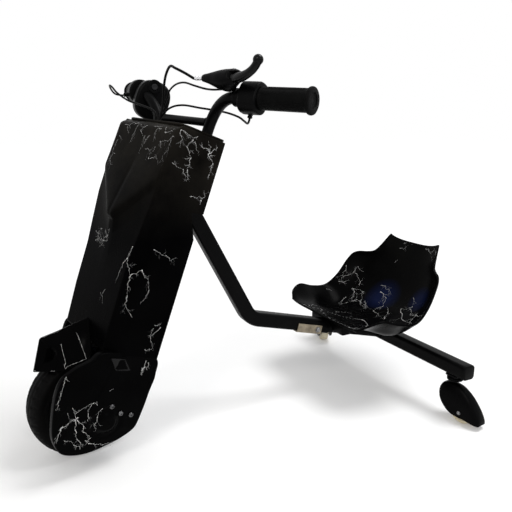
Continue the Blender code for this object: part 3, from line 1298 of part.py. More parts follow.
def build():
    clear_scene()
    mats = finishes()
    kart = empty("kart")
    steering = empty("steering_axis", kart, steering_matrix(STEER_TURN))
    axle_line = empty("front_axle_line", steering, Matrix.Translation((0, -FORK_OFFSET, 0)))
    build_front_wheel(axle_line, mats)
    build_axle(steering, mats)
    head_low, head_high = build_fork(steering, mats)
    mouths = build_left_controls(empty("bar_line_left", steering, bar_matrix(1)), mats)
    mouths.update(build_right_controls(empty("bar_line_right", steering, bar_matrix(-1)), mats))
    build_fairing(steering, mats)
    build_power(steering, mats)
    for side in SIDE_NAME:
        build_side_cover(side, steering, mats)
    build_fender(steering, mats)
    build_frame(kart, mats, head_low, head_high)
    slide = empty("slide_line", kart, slide_matrix(SLIDE_FRONT_Y))
    rear_line = empty("rear_line", slide, slide_matrix(SLIDE_FRONT_Y).inverted())
    centre = slide_matrix(BAR_Y).translation
    build_rear(slide, rear_line, centre, mats)
    for side in SIDE_NAME:
        build_caster(side, rear_line, centre.z, mats)
    build_seat(rear_line, centre, mats)
    build_cables(mouths, steering, mats)
    bpy.context.view_layer.update()
    centre_kart(kart)


build()
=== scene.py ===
"""Looks of the drift kart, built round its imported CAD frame.

Metres, +Z up, the kart heads along -Y and the rider's left is +X. Pieces of the front
assembly are shaped in the steering frame, whose Z axis is the steering axis. Pieces on an
end of the handlebar are shaped in that end's frame, with X along the bar. Pieces of the
rear are shaped in the kart's axes, whose origin is the floor under the front axle.
"""
import math

import bpy
import numpy as np
from mathutils import Euler, Matrix, Vector


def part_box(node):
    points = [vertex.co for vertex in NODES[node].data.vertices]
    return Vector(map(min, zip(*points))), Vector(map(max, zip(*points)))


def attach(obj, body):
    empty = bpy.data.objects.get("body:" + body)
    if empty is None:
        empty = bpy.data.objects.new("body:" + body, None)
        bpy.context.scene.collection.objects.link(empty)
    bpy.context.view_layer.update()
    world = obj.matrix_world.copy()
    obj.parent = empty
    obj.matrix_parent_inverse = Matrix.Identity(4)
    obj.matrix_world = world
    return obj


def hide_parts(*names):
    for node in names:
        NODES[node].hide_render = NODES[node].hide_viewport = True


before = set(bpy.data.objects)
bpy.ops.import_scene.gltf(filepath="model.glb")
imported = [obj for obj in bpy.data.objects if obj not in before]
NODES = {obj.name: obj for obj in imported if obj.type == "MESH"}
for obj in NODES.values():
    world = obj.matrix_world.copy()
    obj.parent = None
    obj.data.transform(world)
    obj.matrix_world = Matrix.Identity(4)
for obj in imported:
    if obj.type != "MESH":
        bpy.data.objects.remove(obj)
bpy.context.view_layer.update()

MM = 0.001
RAKE = math.radians(19.75)
STEER_TURN = math.radians(12)
FORK_OFFSET = 30.4 * MM
TYRE_RADIUS = 100 * MM
BAR_END = Vector((284, 27.3, 592)) * MM
BAR_SWEEP = math.radians(19)
SLIDE_SLOPE = math.radians(14.3)
FRAME_HEAD = Vector((0, 178, 503)) * MM
FRAME_BEND = Vector((0, 339, 199.5)) * MM
BAR_Y = 690 * MM
TUBE_RADIUS = 9.5 * MM
FORK_X = 84 * MM
CASTER_X = 232 * MM
BAR_HALF = 262 * MM
CROSS_BAR_Z = 536 * MM
SIDES = {"left": 1, "right": -1}

# Camera solved from the photograph: its place in the kart's axes, its tilt and turn, lens and sensor in mm,
# and how many pixels the photograph is across
CAMERA_AT = Vector((0.97856, -0.15014, 0.57978))
CAMERA_TILT = math.radians(12.891)
CAMERA_TURN = math.radians(62.668)
FOCAL, SENSOR = 39.3, 36
PHOTO = 512


# Frames of reference

def kart_frames():
    """The kart's axes and the steering frame in the row frame; the motor's box is centred on the axle."""
    low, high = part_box("hub_motor")
    axle = (low + high) / 2
    turn = Matrix.Rotation(-RAKE, 4, "X") @ Matrix.Rotation(STEER_TURN, 4, "Z")
    steering = Matrix.Translation(axle + turn.to_3x3() @ Vector((0, FORK_OFFSET, 0))) @ turn
    back = Vector((0, math.cos(RAKE), -math.sin(RAKE)))
    kart = Matrix.Translation(steering.translation - back * FORK_OFFSET - Vector((0, 0, TYRE_RADIUS)))
    return kart, steering


def bar_local(side):
    """One end of the handlebar in the steering frame: X runs along the bar towards +X, Y back, Z up."""
    swept = side * math.sin(BAR_SWEEP)
    along = Vector((math.cos(BAR_SWEEP), swept * math.cos(RAKE), swept * math.sin(RAKE)))
    high = (Vector((0, 0, 1)) - along * along.z).normalized()
    turn = Matrix((along, high.cross(along), high)).transposed().to_4x4()
    return Matrix.Translation((side * BAR_END.x, BAR_END.y, BAR_END.z)) @ turn


def slide_frame(distance):
    """On the slide's centre line, so far back: Y runs back along it, Z is square to it."""
    run = Vector((0, math.cos(SLIDE_SLOPE), -math.sin(SLIDE_SLOPE)))
    place = FRAME_BEND + run * ((distance - FRAME_BEND.y) / math.cos(SLIDE_SLOPE))
    return Matrix.Translation(place) @ Matrix.Rotation(-SLIDE_SLOPE, 4, "X")


def placed(points, matrix):
    """Points of any array shape carried by a matrix."""
    table = np.array(matrix)
    return np.asarray(points, float) @ table[:3, :3].T + table[:3, 3]


KART, STEERING = kart_frames()
AXLE = STEERING @ Matrix.Translation((0, -FORK_OFFSET, 0))
BAR_CENTRE = slide_frame(BAR_Y).translation
CAMERA_AIM = Euler((math.radians(90) - CAMERA_TILT, 0, CAMERA_TURN))
CAMERA = Matrix.Translation(KART @ CAMERA_AT) @ CAMERA_AIM.to_matrix().to_4x4()


# Surfaces

def grid_faces(rows, columns, round_rows=False, round_columns=False):
    """Quads between neighbouring points of a grid, which may come round on itself."""
    index = np.arange(rows * columns).reshape(rows, columns)
    if round_rows:
        index = np.vstack([index, index[:1]])
    if round_columns:
        index = np.hstack([index, index[:, :1]])
    return np.stack([index[:-1, :-1], index[:-1, 1:], index[1:, 1:], index[1:, :-1]], axis=-1).reshape(-1, 4)


def mesh_piece(name, points, faces, finish, body, stands_for=(), sharp=30, flip=False):
    """A mesh of whole-array points and faces that rides on a body and may stand for CAD nodes."""
    faces = [list(map(int, face)) for face in faces]
    if flip:
        faces = [face[::-1] for face in faces]
    mesh = bpy.data.meshes.new(name)
    mesh.from_pydata(np.asarray(points, float).reshape(-1, 3).tolist(), [], faces)
    mesh.validate()
    mesh.shade_smooth()
    mesh.set_sharp_from_angle(angle=math.radians(sharp))
    mesh.materials.append(finish[1])
    made = bpy.data.objects.new(name, mesh)
    bpy.context.scene.collection.objects.link(made)
    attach(made, body)
    if stands_for:
        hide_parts(*([stands_for] if isinstance(stands_for, str) else stands_for))
    return made


def wall(made, thickness, edge=0.0):
    """Gives a sheet its thickness behind the face, and may round its edges."""
    solid = made.modifiers.new("wall", "SOLIDIFY")
    solid.thickness = thickness
    solid.offset = -1
    if edge:
        bevel = made.modifiers.new("edge", "BEVEL")
        bevel.width = edge
        bevel.segments = 2
        bevel.limit_method = "ANGLE"
        bevel.angle_limit = math.radians(50)
    return made


def normals_of(grid):
    """Unit normals of a grid of points: the cross product of its two directions."""
    normal = np.cross(np.gradient(grid, axis=0), np.gradient(grid, axis=1))
    return normal / np.maximum(np.linalg.norm(normal, axis=-1, keepdims=True), 1e-12)


def blurred(grid, passes):
    """Rounds a grid's creases with repeated 1-2-1 means along rows and columns, whose ends stay."""
    for axis in (0, 1) * passes:
        grid = np.moveaxis(grid, axis, 0).copy()
        grid[1:-1] = (grid[:-2] + 2 * grid[1:-1] + grid[2:]) / 4
        grid = np.moveaxis(grid, 0, axis)
    return grid


def resampled(table, shares, axis=0):
    """Values of a table at fractional row numbers, straight between rows."""
    table = np.asarray(table, float)
    low = np.clip(np.floor(shares).astype(int), 0, table.shape[axis] - 2)
    part = (shares - low).reshape([-1 if a == axis else 1 for a in range(table.ndim)])
    return np.take(table, low, axis) * (1 - part) + np.take(table, low + 1, axis) * part


def splined(table, shares, closed=False):
    """Catmull-Rom values of a table at fractional row numbers: the cubic in t through b and c whose slopes
    there are (c - a) / 2 and (d - b) / 2."""
    table = np.asarray(table, float)
    ends = np.vstack([2 * table[0] - table[1], table, 2 * table[-1] - table[-2]])
    if closed:
        ends = np.vstack([table[-1], table, table[:2]])
    low = np.clip(shares.astype(int), 0, len(ends) - 4)
    t = (shares - low)[:, None]
    a, b, c, d = (ends[low + k] for k in range(4))
    return 0.5 * (2 * b + (c - a) * t + (2 * a - 5 * b + 4 * c - d) * t**2 + (3 * b - a - 3 * c + d) * t**3)


def evened(path, count):
    """The same line with its points evenly spaced."""
    length = np.concatenate([[0], np.cumsum(np.linalg.norm(np.diff(path, axis=0), axis=1))])
    marks = np.linspace(0, length[-1], count)
    return np.stack([np.interp(marks, length, path[:, k]) for k in range(path.shape[1])], axis=1)


def curve_through(points, count):
    """Even points along a Catmull-Rom curve through the given ones."""
    return evened(splined(points, np.linspace(0, len(points) - 1, 40 * len(points))), count)


def outline_through(points, count):
    """Even points round a closed Catmull-Rom curve through the given ones."""
    loop = splined(points, np.linspace(0, len(points), 40 * len(points)), closed=True)
    return evened(loop, count + 1)[:-1]


def bend(p0, p1, p2, p3, count):
    """Cubic curve: s^3 p0 + 3 s^2 t p1 + 3 s t^2 p2 + t^3 p3, with s = 1 - t."""
    t = np.linspace(0, 1, count)[:, None]
    s = 1 - t
    p0, p1, p2, p3 = (np.array(p) for p in (p0, p1, p2, p3))
    return p0 * s**3 + p1 * 3 * s * s * t + p2 * 3 * s * t * t + p3 * t**3


def path_frames(path, up):
    """Two unit vectors square to a path at each point; the second stays nearest to up."""
    run = np.gradient(path, axis=0)
    run /= np.linalg.norm(run, axis=1, keepdims=True)
    up = np.broadcast_to(np.asarray(up, float), run.shape)
    high = up - run * (run * up).sum(1)[:, None]
    high /= np.maximum(np.linalg.norm(high, axis=1, keepdims=True), 1e-9)
    return np.cross(high, run), high


def carried(path, section, up=(0, 0, 1)):
    """A closed section (u, v) carried along a path: point = path + u * wide + v * high."""
    wide, high = path_frames(path, up)
    section = np.asarray(section, float)
    if section.ndim == 2:
        section = np.broadcast_to(section, (len(path), *section.shape))
    return path[:, None] + wide[:, None] * section[..., :1] + high[:, None] * section[..., 1:]


def turned(profile, sides):
    """A profile of (distance, radius) turned about X: x = distance, y = r cos a, z = r sin a."""
    profile = np.asarray(profile, float)
    angle = np.arange(sides) * math.tau / sides
    x = np.broadcast_to(profile[:, :1], (len(profile), sides))
    return np.stack([x, profile[:, 1:] * np.cos(angle), profile[:, 1:] * np.sin(angle)], axis=-1)


def capped(grid):
    """Points and faces of a tube of closed rings, each end shut by one face."""
    rows, columns = grid.shape[:2]
    faces = grid_faces(rows, columns, round_columns=True).tolist()
    faces.append(list(range(columns))[::-1])
    faces.append(list(range((rows - 1) * columns, rows * columns)))
    return grid.reshape(-1, 3), faces


def circle(radius, count=24):
    """A round outline: (r cos a, r sin a)."""
    angle = np.arange(count) * math.tau / count
    return np.stack([radius * np.cos(angle), radius * np.sin(angle)], axis=1)


def superellipse(wide, high, power, count=36):
    """Outline |u/wide|^p + |v/high|^p = 1."""
    unit = circle(1.0, count)
    return np.sign(unit) * np.abs(unit) ** (2 / power) * (wide, high)


def rounded_square(half, corner, count=6):
    """A square with round corners, each a quarter circle: corner's centre + radius * (cos a, sin a)."""
    angle = (np.arange(4)[:, None] + np.linspace(0, 1, count)) * math.pi / 2
    centre = np.array([(1, 1), (-1, 1), (-1, -1), (1, -1)])[:, None] * (half - corner)
    return (centre + corner * np.stack([np.cos(angle), np.sin(angle)], -1)).reshape(-1, 2)


def inset(outline, distance):
    """A closed outline moved in along the normals of its corners."""
    run = np.roll(outline, -1, axis=0) - np.roll(outline, 1, axis=0)
    normal = np.stack([run[:, 1], -run[:, 0]], axis=1)
    normal /= np.maximum(np.linalg.norm(normal, axis=1, keepdims=True), 1e-12)
    area = np.sum(outline[:, 0] * np.roll(outline[:, 1], -1) - outline[:, 1] * np.roll(outline[:, 0], -1))
    return outline - normal * distance * np.sign(area)


def slab_rings(outline, low, high, edge, steps=5):
    """Rings of a plate between two levels whose rims are rounded by quarter circles: (u, v, level)."""
    turn = np.linspace(0, math.pi / 2, steps)
    depth = np.concatenate([edge * (1 - np.sin(turn)), edge * (1 - np.cos(turn))])
    level = np.concatenate([low + edge * (1 - np.cos(turn)), high - edge * (1 - np.sin(turn))])
    rings = [np.column_stack([inset(outline, d), np.full(len(outline), z)]) for d, z in zip(depth, level)]
    return np.array(rings)


def slab(name, outline, axis, low, high, edge, matrix, look, body, stands_for=(), sharp=40):
    """A plate with rounded rims: its outline lies square to an axis."""
    rings = slab_rings(np.asarray(outline, float), low, high, edge)
    order = {0: (2, 0, 1), 1: (0, 2, 1), 2: (0, 1, 2)}[axis]
    points, faces = capped(placed(rings[..., order], matrix))
    return solid_piece(name, points, faces, look, body, stands_for, sharp)


def solid_piece(name, points, faces, look, body, stands_for=(), sharp=40):
    """A closed mesh turned so that its faces point out."""
    points = np.asarray(points, float).reshape(-1, 3)
    quads = [face for face in faces if len(face) == 4]
    a, b, c, d = (points[[face[k] for face in quads]] - points.mean(0) for k in range(4))
    volume = np.einsum("ij,ij->", a, np.cross(b, c)) + np.einsum("ij,ij->", a, np.cross(c, d))
    return mesh_piece(name, points, faces, look, body, stands_for, sharp, flip=bool(volume < 0))


def tube(name, path, section, matrix, look, body, stands_for=(), up=(0, 0, 1), sharp=40):
    """A closed bar: a section carried along a path and shut at both ends."""
    points, faces = capped(placed(carried(np.asarray(path, float), section, up), matrix))
    return solid_piece(name, points, faces, look, body, stands_for, sharp)


def lathe(name, profile, matrix, look, body, stands_for=(), sides=48, sharp=30, shape=None):
    """A turned piece; a profile that comes back to its start leaves an open bore."""
    profile = np.asarray(profile, float)
    ring = np.allclose(profile[0], profile[-1])
    grid = turned(profile[:-1] if ring else profile, sides)
    if shape is not None:
        grid = shape(grid)
    grid = placed(grid, matrix)
    points, faces = (grid, grid_faces(len(grid), sides, True, True).tolist()) if ring else capped(grid)
    return solid_piece(name, points, faces, look, body, stands_for, sharp)


# Finishes

def nodes_of(name):
    """A new material with its node tree, shader and Object coordinates."""
    made = bpy.data.materials.new(name)
    made.use_nodes = True
    tree = made.node_tree
    shader = tree.nodes["Principled BSDF"]
    place = tree.nodes.new("ShaderNodeTexCoord").outputs["Object"]
    return made, tree, shader, place


def noise(tree, place, scale, detail=4.0, roughness=0.55, stretch=None):
    """Fractal noise at so many cycles a metre, which may be stretched along an axis."""
    if stretch:
        turn = tree.nodes.new("ShaderNodeMapping")
        turn.inputs["Scale"].default_value = stretch
        tree.links.new(place, turn.inputs["Vector"])
        place = turn.outputs["Vector"]
    node = tree.nodes.new("ShaderNodeTexNoise")
    node.inputs["Scale"].default_value = scale
    node.inputs["Detail"].default_value = detail
    node.inputs["Roughness"].default_value = roughness
    tree.links.new(place, node.inputs["Vector"])
    return node.outputs["Fac"]


def spread(tree, value, low, high, from_low=0.3, from_high=0.7):
    """Carries a value's range onto another."""
    node = tree.nodes.new("ShaderNodeMapRange")
    node.inputs["From Min"].default_value = from_low
    node.inputs["From Max"].default_value = from_high
    node.inputs["To Min"].default_value = low
    node.inputs["To Max"].default_value = high
    tree.links.new(value, node.inputs["Value"])
    return node.outputs["Result"]


def mixed(tree, share, one, two):
    """A colour between two, each a colour or a socket."""
    node = tree.nodes.new("ShaderNodeMix")
    node.data_type = "RGBA"
    tree.links.new(share, node.inputs["Factor"])
    for value, socket in ((one, node.inputs[6]), (two, node.inputs[7])):
        if isinstance(value, tuple):
            socket.default_value = (*value, 1.0)
        else:
            tree.links.new(value, socket)
    return node.outputs[2]


def finish(slot, name, dark, light, rough, metal=0.0, mottle=14.0, grain=900.0, depth=0.05, scuff=None,
           shine=0.5, stretch=None):
    """Paint, plastic or metal: mottled between two tones, with grain (depth in mm), uneven gloss and, where
    asked for, scuffs."""
    made, tree, shader, place = nodes_of(name)
    cloud = noise(tree, place, mottle, 5.0)
    colour = mixed(tree, spread(tree, cloud, 0.0, 1.0), dark, light)
    gloss = spread(tree, noise(tree, place, mottle * 6, 6.0, 0.6), rough[0], rough[1])
    if scuff:
        marks = spread(tree, noise(tree, place, 60.0, 8.0, 0.75, (1.0, 1.0, 5.0)), 0.0, 1.0, 0.66, 0.75)
        colour = mixed(tree, marks, colour, scuff)
    tree.links.new(colour, shader.inputs["Base Color"])
    tree.links.new(gloss, shader.inputs["Roughness"])
    shader.inputs["Metallic"].default_value = metal
    shader.inputs["Specular IOR Level"].default_value = shine
    bump = tree.nodes.new("ShaderNodeBump")
    bump.inputs["Distance"].default_value = depth * MM
    tree.links.new(noise(tree, place, grain, 2.0, 0.5, stretch), bump.inputs["Height"])
    tree.links.new(bump.outputs["Normal"], shader.inputs["Normal"])
    return slot, made


def printed(name, light=(.0012, .0012, .0013), shine=.012):
    """The glossy dark ground of the printed shells."""
    return finish("printed_gloss_shell", name, (.0003, .0003, .0004), light, (.2, .3), mottle=9.0,
                  grain=260.0, shine=shine)


def paint_sheen(made, tint, low, high, reflection_tint=None, spots=()):
    """Paints sheen, a cloudy tint that grows between two heights, and soft spots of painted
    reflection: each fades out from 0.35 of its radius to its radius round its centre."""
    tree = made.node_tree
    shader = tree.nodes["Principled BSDF"]
    base = shader.inputs["Base Color"].links[0].from_socket
    place = tree.nodes.new("ShaderNodeTexCoord").outputs["Object"]
    apart = tree.nodes.new("ShaderNodeSeparateXYZ")
    tree.links.new(place, apart.inputs[0])
    rise = spread(tree, apart.outputs["Z"], 0.0, 1.0, low, high)
    cloud = spread(tree, noise(tree, place, 11.0, 4.0, 0.6), 0.25, 1.0, 0.35, 0.65)
    share = tree.nodes.new("ShaderNodeMath")
    share.operation = "MULTIPLY"
    tree.links.new(rise, share.inputs[0])
    tree.links.new(cloud, share.inputs[1])
    base = mixed(tree, share.outputs[0], base, tint)
    for centre, radius in spots:
        reach = tree.nodes.new("ShaderNodeVectorMath")
        reach.operation = "DISTANCE"
        reach.inputs[1].default_value = centre
        tree.links.new(place, reach.inputs[0])
        base = mixed(tree, spread(tree, reach.outputs["Value"], 1.0, 0.0, radius * 0.35, radius), base, reflection_tint)
    tree.links.new(base, shader.inputs["Base Color"])


# The seat's spots of painted blue reflection: centre and radius
SEAT_BLUE_REFLECTIONS = (((-.030, .375, .185), .052), ((.082, .388, .203), .036))
SHELL = printed("printed shell")
FAIRING_SHELL = printed("printed shell with painted sheen", shine=.006)
# Painted sheen on the fairing: a cloudy warm grey that grows towards its top.
paint_sheen(FAIRING_SHELL[1], (.0155, .0138, .0112), 0.40, 0.60)
SEAT_SHELL = printed("printed shell with painted reflections", (.0014, .0014, .0015), .014)
# Painted sheen on the seat towards its top, and spots of painted blue reflection.
paint_sheen(SEAT_SHELL[1], (.0030, .0030, .0028), 0.16, 0.30, (.0030, .0056, .0240), SEAT_BLUE_REFLECTIONS)
# A paler, glossier copy of the shell for the raised facet on the left cover.
LEDGE = finish("printed_gloss_shell", "pale glossy shell", (.004, .004, .0042), (.009, .009, .0092), (.2, .3),
               mottle=30.0, grain=260.0, depth=.05, shine=.1)
VEIN = finish("printed_gloss_shell", "vein print", (.36, .36, .36), (.88, .88, .87), (.3, .4), mottle=38.0,
              grain=300.0, depth=.02, shine=.06)
FAINT = finish("printed_gloss_shell", "faint vein print", (.05, .05, .05), (.38, .38, .38), (.3, .4),
               mottle=38.0, grain=300.0, depth=.02, shine=.06)
FRAME = finish("matt_black_paint", "black frame paint", (.0004, .0004, .0005), (.0014, .0014, .0015),
               (.3, .42), mottle=22.0, grain=2200.0, depth=.04, scuff=(.005, .005, .005), shine=.045)
STEEL = finish("bright_steel", "bright steel", (.16, .16, .165), (.34, .34, .34), (.25, .42), 1.0,
               mottle=60.0, grain=1400.0, depth=.02)
CHROME = finish("chrome", "chrome", (.66, .66, .68), (.82, .82, .83), (.08, .18), 1.0, mottle=60.0,
                grain=900.0, depth=.01)
# A darker copy of chrome for the cover screws: painted shade.
BOLT = finish("chrome", "chrome darkened by painted shade", (.05, .05, .052), (.14, .14, .142), (.16, .3), 1.0, mottle=90.0,
              grain=900.0, depth=.02)
DARK_CHROME = finish("chrome", "smoked chrome", (.010, .010, .011), (.022, .022, .024), (.18, .3), .3,
                     mottle=90.0, grain=900.0, depth=.01, shine=.3)
ZINC = finish("yellow_zinc_plate", "yellow zinc plate", (.13, .105, .07), (.30, .255, .18), (.35, .5), .3,
              mottle=60.0, grain=900.0, depth=.03)
ALLOY = finish("cast_alloy", "cast alloy", (.10, .10, .105), (.20, .20, .21), (.4, .55), .9, mottle=40.0,
               grain=1200.0, depth=.08)
MOTOR = finish("motor_shell", "motor shell", (.001, .001, .0011), (.003, .003, .0032), (.28, .42), .2,
               mottle=40.0, grain=1500.0, depth=.06, shine=.06)
TYRE = finish("tyre_rubber", "tyre rubber", (.0005, .0005, .0005), (.0018, .0017, .0016), (.5, .7),
              mottle=45.0, grain=1600.0, depth=.12, scuff=(.005, .005, .0048), shine=.04)
RUBBER = finish("grip_rubber", "grip rubber", (.0005, .0005, .0005), (.0015, .0015, .0015), (.42, .58),
                mottle=60.0, grain=2600.0, depth=.10, shine=.04)
PLASTIC = finish("black_plastic", "grained black plastic", (.0005, .0005, .0006), (.0015, .0015, .0016),
                 (.32, .44), mottle=40.0, grain=2000.0, depth=.07, shine=.045)
HOOD = finish("caster_hood_plastic", "caster hood plastic", (.0005, .0005, .0006), (.0015, .0015, .0016),
              (.26, .36), mottle=40.0, grain=1400.0, depth=.06, shine=.03)
BUTTON = finish("red_button", "red button", (.30, .012, .010), (.42, .03, .025), (.3, .4), mottle=80.0,
                grain=1500.0, depth=.03)
LEVER = finish("lever_coating", "lever coating", (.0005, .0005, .0006), (.0015, .0015, .0016), (.2, .32), .1,
               mottle=50.0, grain=1800.0, depth=.04, shine=.12)
LENS = finish("lamp_lens", "lamp lens", (.0012, .0012, .0014), (.003, .003, .0034), (.04, .1), mottle=40.0,
              grain=500.0, depth=.02, shine=.15)
URETHANE = finish("clear_urethane", "amber urethane", (.50, .42, .26), (.70, .64, .48), (.25, .38),
                  mottle=70.0, grain=900.0, depth=.05)
BATTERY = finish("battery_wrap", "battery wrap", (.02, .04, .14), (.03, .06, .20), (.3, .42), mottle=50.0,
                 grain=700.0, depth=.08)
CABLE = finish("cable_jacket", "cable jacket", (.0006, .0006, .0006), (.0016, .0016, .0016), (.34, .46),
               mottle=90.0, grain=3000.0, depth=.05, shine=.05)
FINISHES = {made[0]: made for made in (SHELL, FRAME, STEEL, CHROME, ZINC, ALLOY, MOTOR, TYRE, RUBBER, PLASTIC,
                                       HOOD, BUTTON, LEVER, LENS, URETHANE, BATTERY, CABLE)}


def dress_cad_nodes():
    """Each CAD node takes the finish of its record slot."""
    for node in NODES.values():
        for place in node.material_slots:
            place.material = FINISHES[place.material.name.split(".")[0]][1]


# Lightning print

def ragged(rng, start, end, knots=5, rough=0.17):
    """A ragged line: octaves of random offsets square to the straight one, nothing at its ends."""
    run = end - start
    length = np.linalg.norm(run)
    share = np.linspace(0, 1, 2**knots + 1)
    offset = np.zeros(len(share))
    for octave in range(1, knots + 1):
        marks = np.linspace(0, 1, 2**octave + 1)
        values = rng.normal(0, rough * length / 2 ** (octave * 0.9), len(marks))
        values[[0, -1]] = 0
        offset += np.interp(share, marks, values)
    side = np.array([-run[1], run[0]]) / length
    return start + run * share[:, None] + side * offset[:, None]


def lightning(rng, start, end, width, depth=2, forks=(2, 4)):
    """A ragged line whose branches leave it at a slant of 0.35 to 1.15 radians, each 0.22 to 0.5 times as
    long and 0.62 times as wide as its parent."""
    start, end = np.asarray(start, float), np.asarray(end, float)
    line = ragged(rng, start, end)
    strokes = [(line, width)]
    if depth:
        for share in rng.uniform(0.1, 0.85, rng.integers(forks[0], forks[1] + 1)):
            at = line[int(share * (len(line) - 1))]
            angle = rng.choice([-1, 1]) * rng.uniform(0.35, 1.15)
            c, s = math.cos(angle), math.sin(angle)
            run = (end - start) * rng.uniform(0.22, 0.5)
            far = at + np.array([c * run[0] - s * run[1], s * run[0] + c * run[1]])
            strokes += lightning(rng, at, far, width * 0.62, depth - 1, forks)
    return strokes


def at_shares(grid, rows, columns):
    """Points of a grid at fractional row and column numbers, straight between them."""
    i = np.clip(rows.astype(int), 0, grid.shape[0] - 2)
    j = np.clip(columns.astype(int), 0, grid.shape[1] - 2)
    r, c = (rows - i)[:, None], (columns - j)[:, None]
    near = grid[i, j] * (1 - r) + grid[i + 1, j] * r
    far = grid[i, j + 1] * (1 - r) + grid[i + 1, j + 1] * r
    return near * (1 - c) + far * c


def print_veins(name, grid, strokes, look, body, lift, outward):
    """Ribbons just off a surface along strokes given in shares of its grid. With s from 0 to 1 along one,
    half its width is width / 2 * (1 - 0.75 s + 1.3 e^(-14 s)), which wavers as 0.8 + 0.35 sin(37 s)."""
    normal = normals_of(grid) * outward
    rows, columns = grid.shape[:2]
    points, faces, count = [], [], 0
    for line, width in strokes:
        row = line[:, 0] * (rows - 1)
        column = line[:, 1] * (columns - 1)
        inside = (column > 0.5) & (column < columns - 1.5) & (row > 0.5) & (row < rows - 1.5)
        stop = len(inside) if inside.all() else int(np.argmin(inside))
        if stop < 4:
            continue
        spots = at_shares(grid, row[:stop], column[:stop])
        up = at_shares(normal, row[:stop], column[:stop])
        run = np.gradient(spots, axis=0)
        side = np.cross(up, run)
        side /= np.maximum(np.linalg.norm(side, axis=1, keepdims=True), 1e-9)
        share = np.arange(stop) / (stop - 1)
        half = width / 2 * (1 - 0.75 * share + 1.3 * np.exp(-share * 14))
        half *= 0.8 + 0.35 * np.sin(share * 37 + count)
        edge = side * half[:, None]
        raised = np.repeat(up, 2, axis=0) * lift
        points.append(np.stack([spots - edge, spots + edge], axis=1).reshape(-1, 3) + raised)
        faces.append(grid_faces(stop, 2) + count)
        count += 2 * stop
    if points:
        mesh_piece(name, np.vstack(points), np.vstack(faces), look, body, flip=True)


# Fairing

FAIRING_HALF = 100
FAIRING_SEGMENTS = (5, 18, 18, 14, 18, 16)
WING_LOW, NOTCH_LOW = 383, 338
WING_BACK, FAIRING_BACK, NOTCH_BACK = 31, 27, 6
STRETCH_FROM = -45
WING_ROWS = 60
HATCH_SCREWS = ((86, 326), (-86, 326), (86, 138), (-86, 138))

# Rows of the skin, top to bottom: middle z, side z, middle y, corner y (all mm), and the corner's share of
# the half width
FAIRING_ROWS = np.array([(512, 512, -57, -54, 0.955), (502, 503, -68.5, -68, 1.00),
                         (450, 472, -69, -70, 1.00), (338, 440, -91, -74, 1.00), (331, 432, -81, -71, 1.00),
                         (307, 387, -76, -72, 0.99), (267, 334, -73, -72, 0.91), (240, 290, -72, -72, 0.84),
                         (182, 202, -71, -71, 0.84), (120.5, 120.5, -69, -69, 0.80)])


def fairing_skin():
    """Each row runs from the right rear edge round the prow to the left one, straight between thirteen
    corners. Rows lie straight between the table's, and the creases are then rounded. Behind the corners, y
    is stretched to end at the row's rear edge."""
    top, foot = FAIRING_ROWS[[0, -1], 1]
    side_levels = np.concatenate([np.linspace(top, WING_LOW, WING_ROWS), np.linspace(WING_LOW, NOTCH_LOW, 22),
                                  np.linspace(NOTCH_LOW, foot, 84)])
    shares = np.interp(-side_levels, -FAIRING_ROWS[:, 1], np.arange(len(FAIRING_ROWS)))
    mid_z, side_z, mid_y, corner_y, corner = resampled(FAIRING_ROWS, shares).T
    half = FAIRING_HALF
    side_y = -62 + (1 - corner) * 105
    corner_x = half * corner
    corner_z = mid_z + (side_z - mid_z) * 0.78 * corner
    strip = np.clip((450 - mid_z) / 20, 0, 1) * np.clip((mid_z - 336) / 6, 0, 1)
    flat = np.zeros_like(mid_z)
    knots = np.stack([
        np.stack([flat, mid_y + strip, mid_z], 1),
        np.stack([flat + 8, mid_y + strip * 0.2, mid_z], 1),
        np.stack([corner_x * 0.54, mid_y + (corner_y - mid_y) * 0.5, mid_z + (corner_z - mid_z) * 0.5], 1),
        np.stack([corner_x, corner_y, corner_z], 1),
        np.stack([half + 2 * np.clip((corner - 0.97) / 0.03, 0, 1), side_y, side_z], 1),
        np.stack([flat + half, flat - 10, side_z], 1),
        np.stack([flat + half, flat + FAIRING_BACK, side_z], 1)], axis=1)
    marks = np.concatenate([np.linspace(k, k + 1, count, endpoint=False)
                            for k, count in enumerate(FAIRING_SEGMENTS)] + [[6.0]])
    right = resampled(knots, marks, axis=1)
    grid = np.concatenate([(right * (-1, 1, 1))[:, :0:-1], right], axis=1)
    grid = blurred(grid, 3)
    notch = (np.arange(len(side_levels)) >= WING_ROWS) & (side_levels >= NOTCH_LOW)
    slant = NOTCH_BACK + (WING_LOW - side_levels) / (WING_LOW - NOTCH_LOW) * (FAIRING_BACK - NOTCH_BACK)
    rear = np.where(notch, slant, np.where(side_levels > WING_LOW, WING_BACK, FAIRING_BACK))
    behind = np.maximum(grid[..., 1] - STRETCH_FROM, 0)
    stretched = STRETCH_FROM + behind * (rear[:, None] - STRETCH_FROM) / (FAIRING_BACK - STRETCH_FROM)
    grid[..., 1] = np.where(grid[..., 1] > STRETCH_FROM, stretched, grid[..., 1])
    return grid * MM


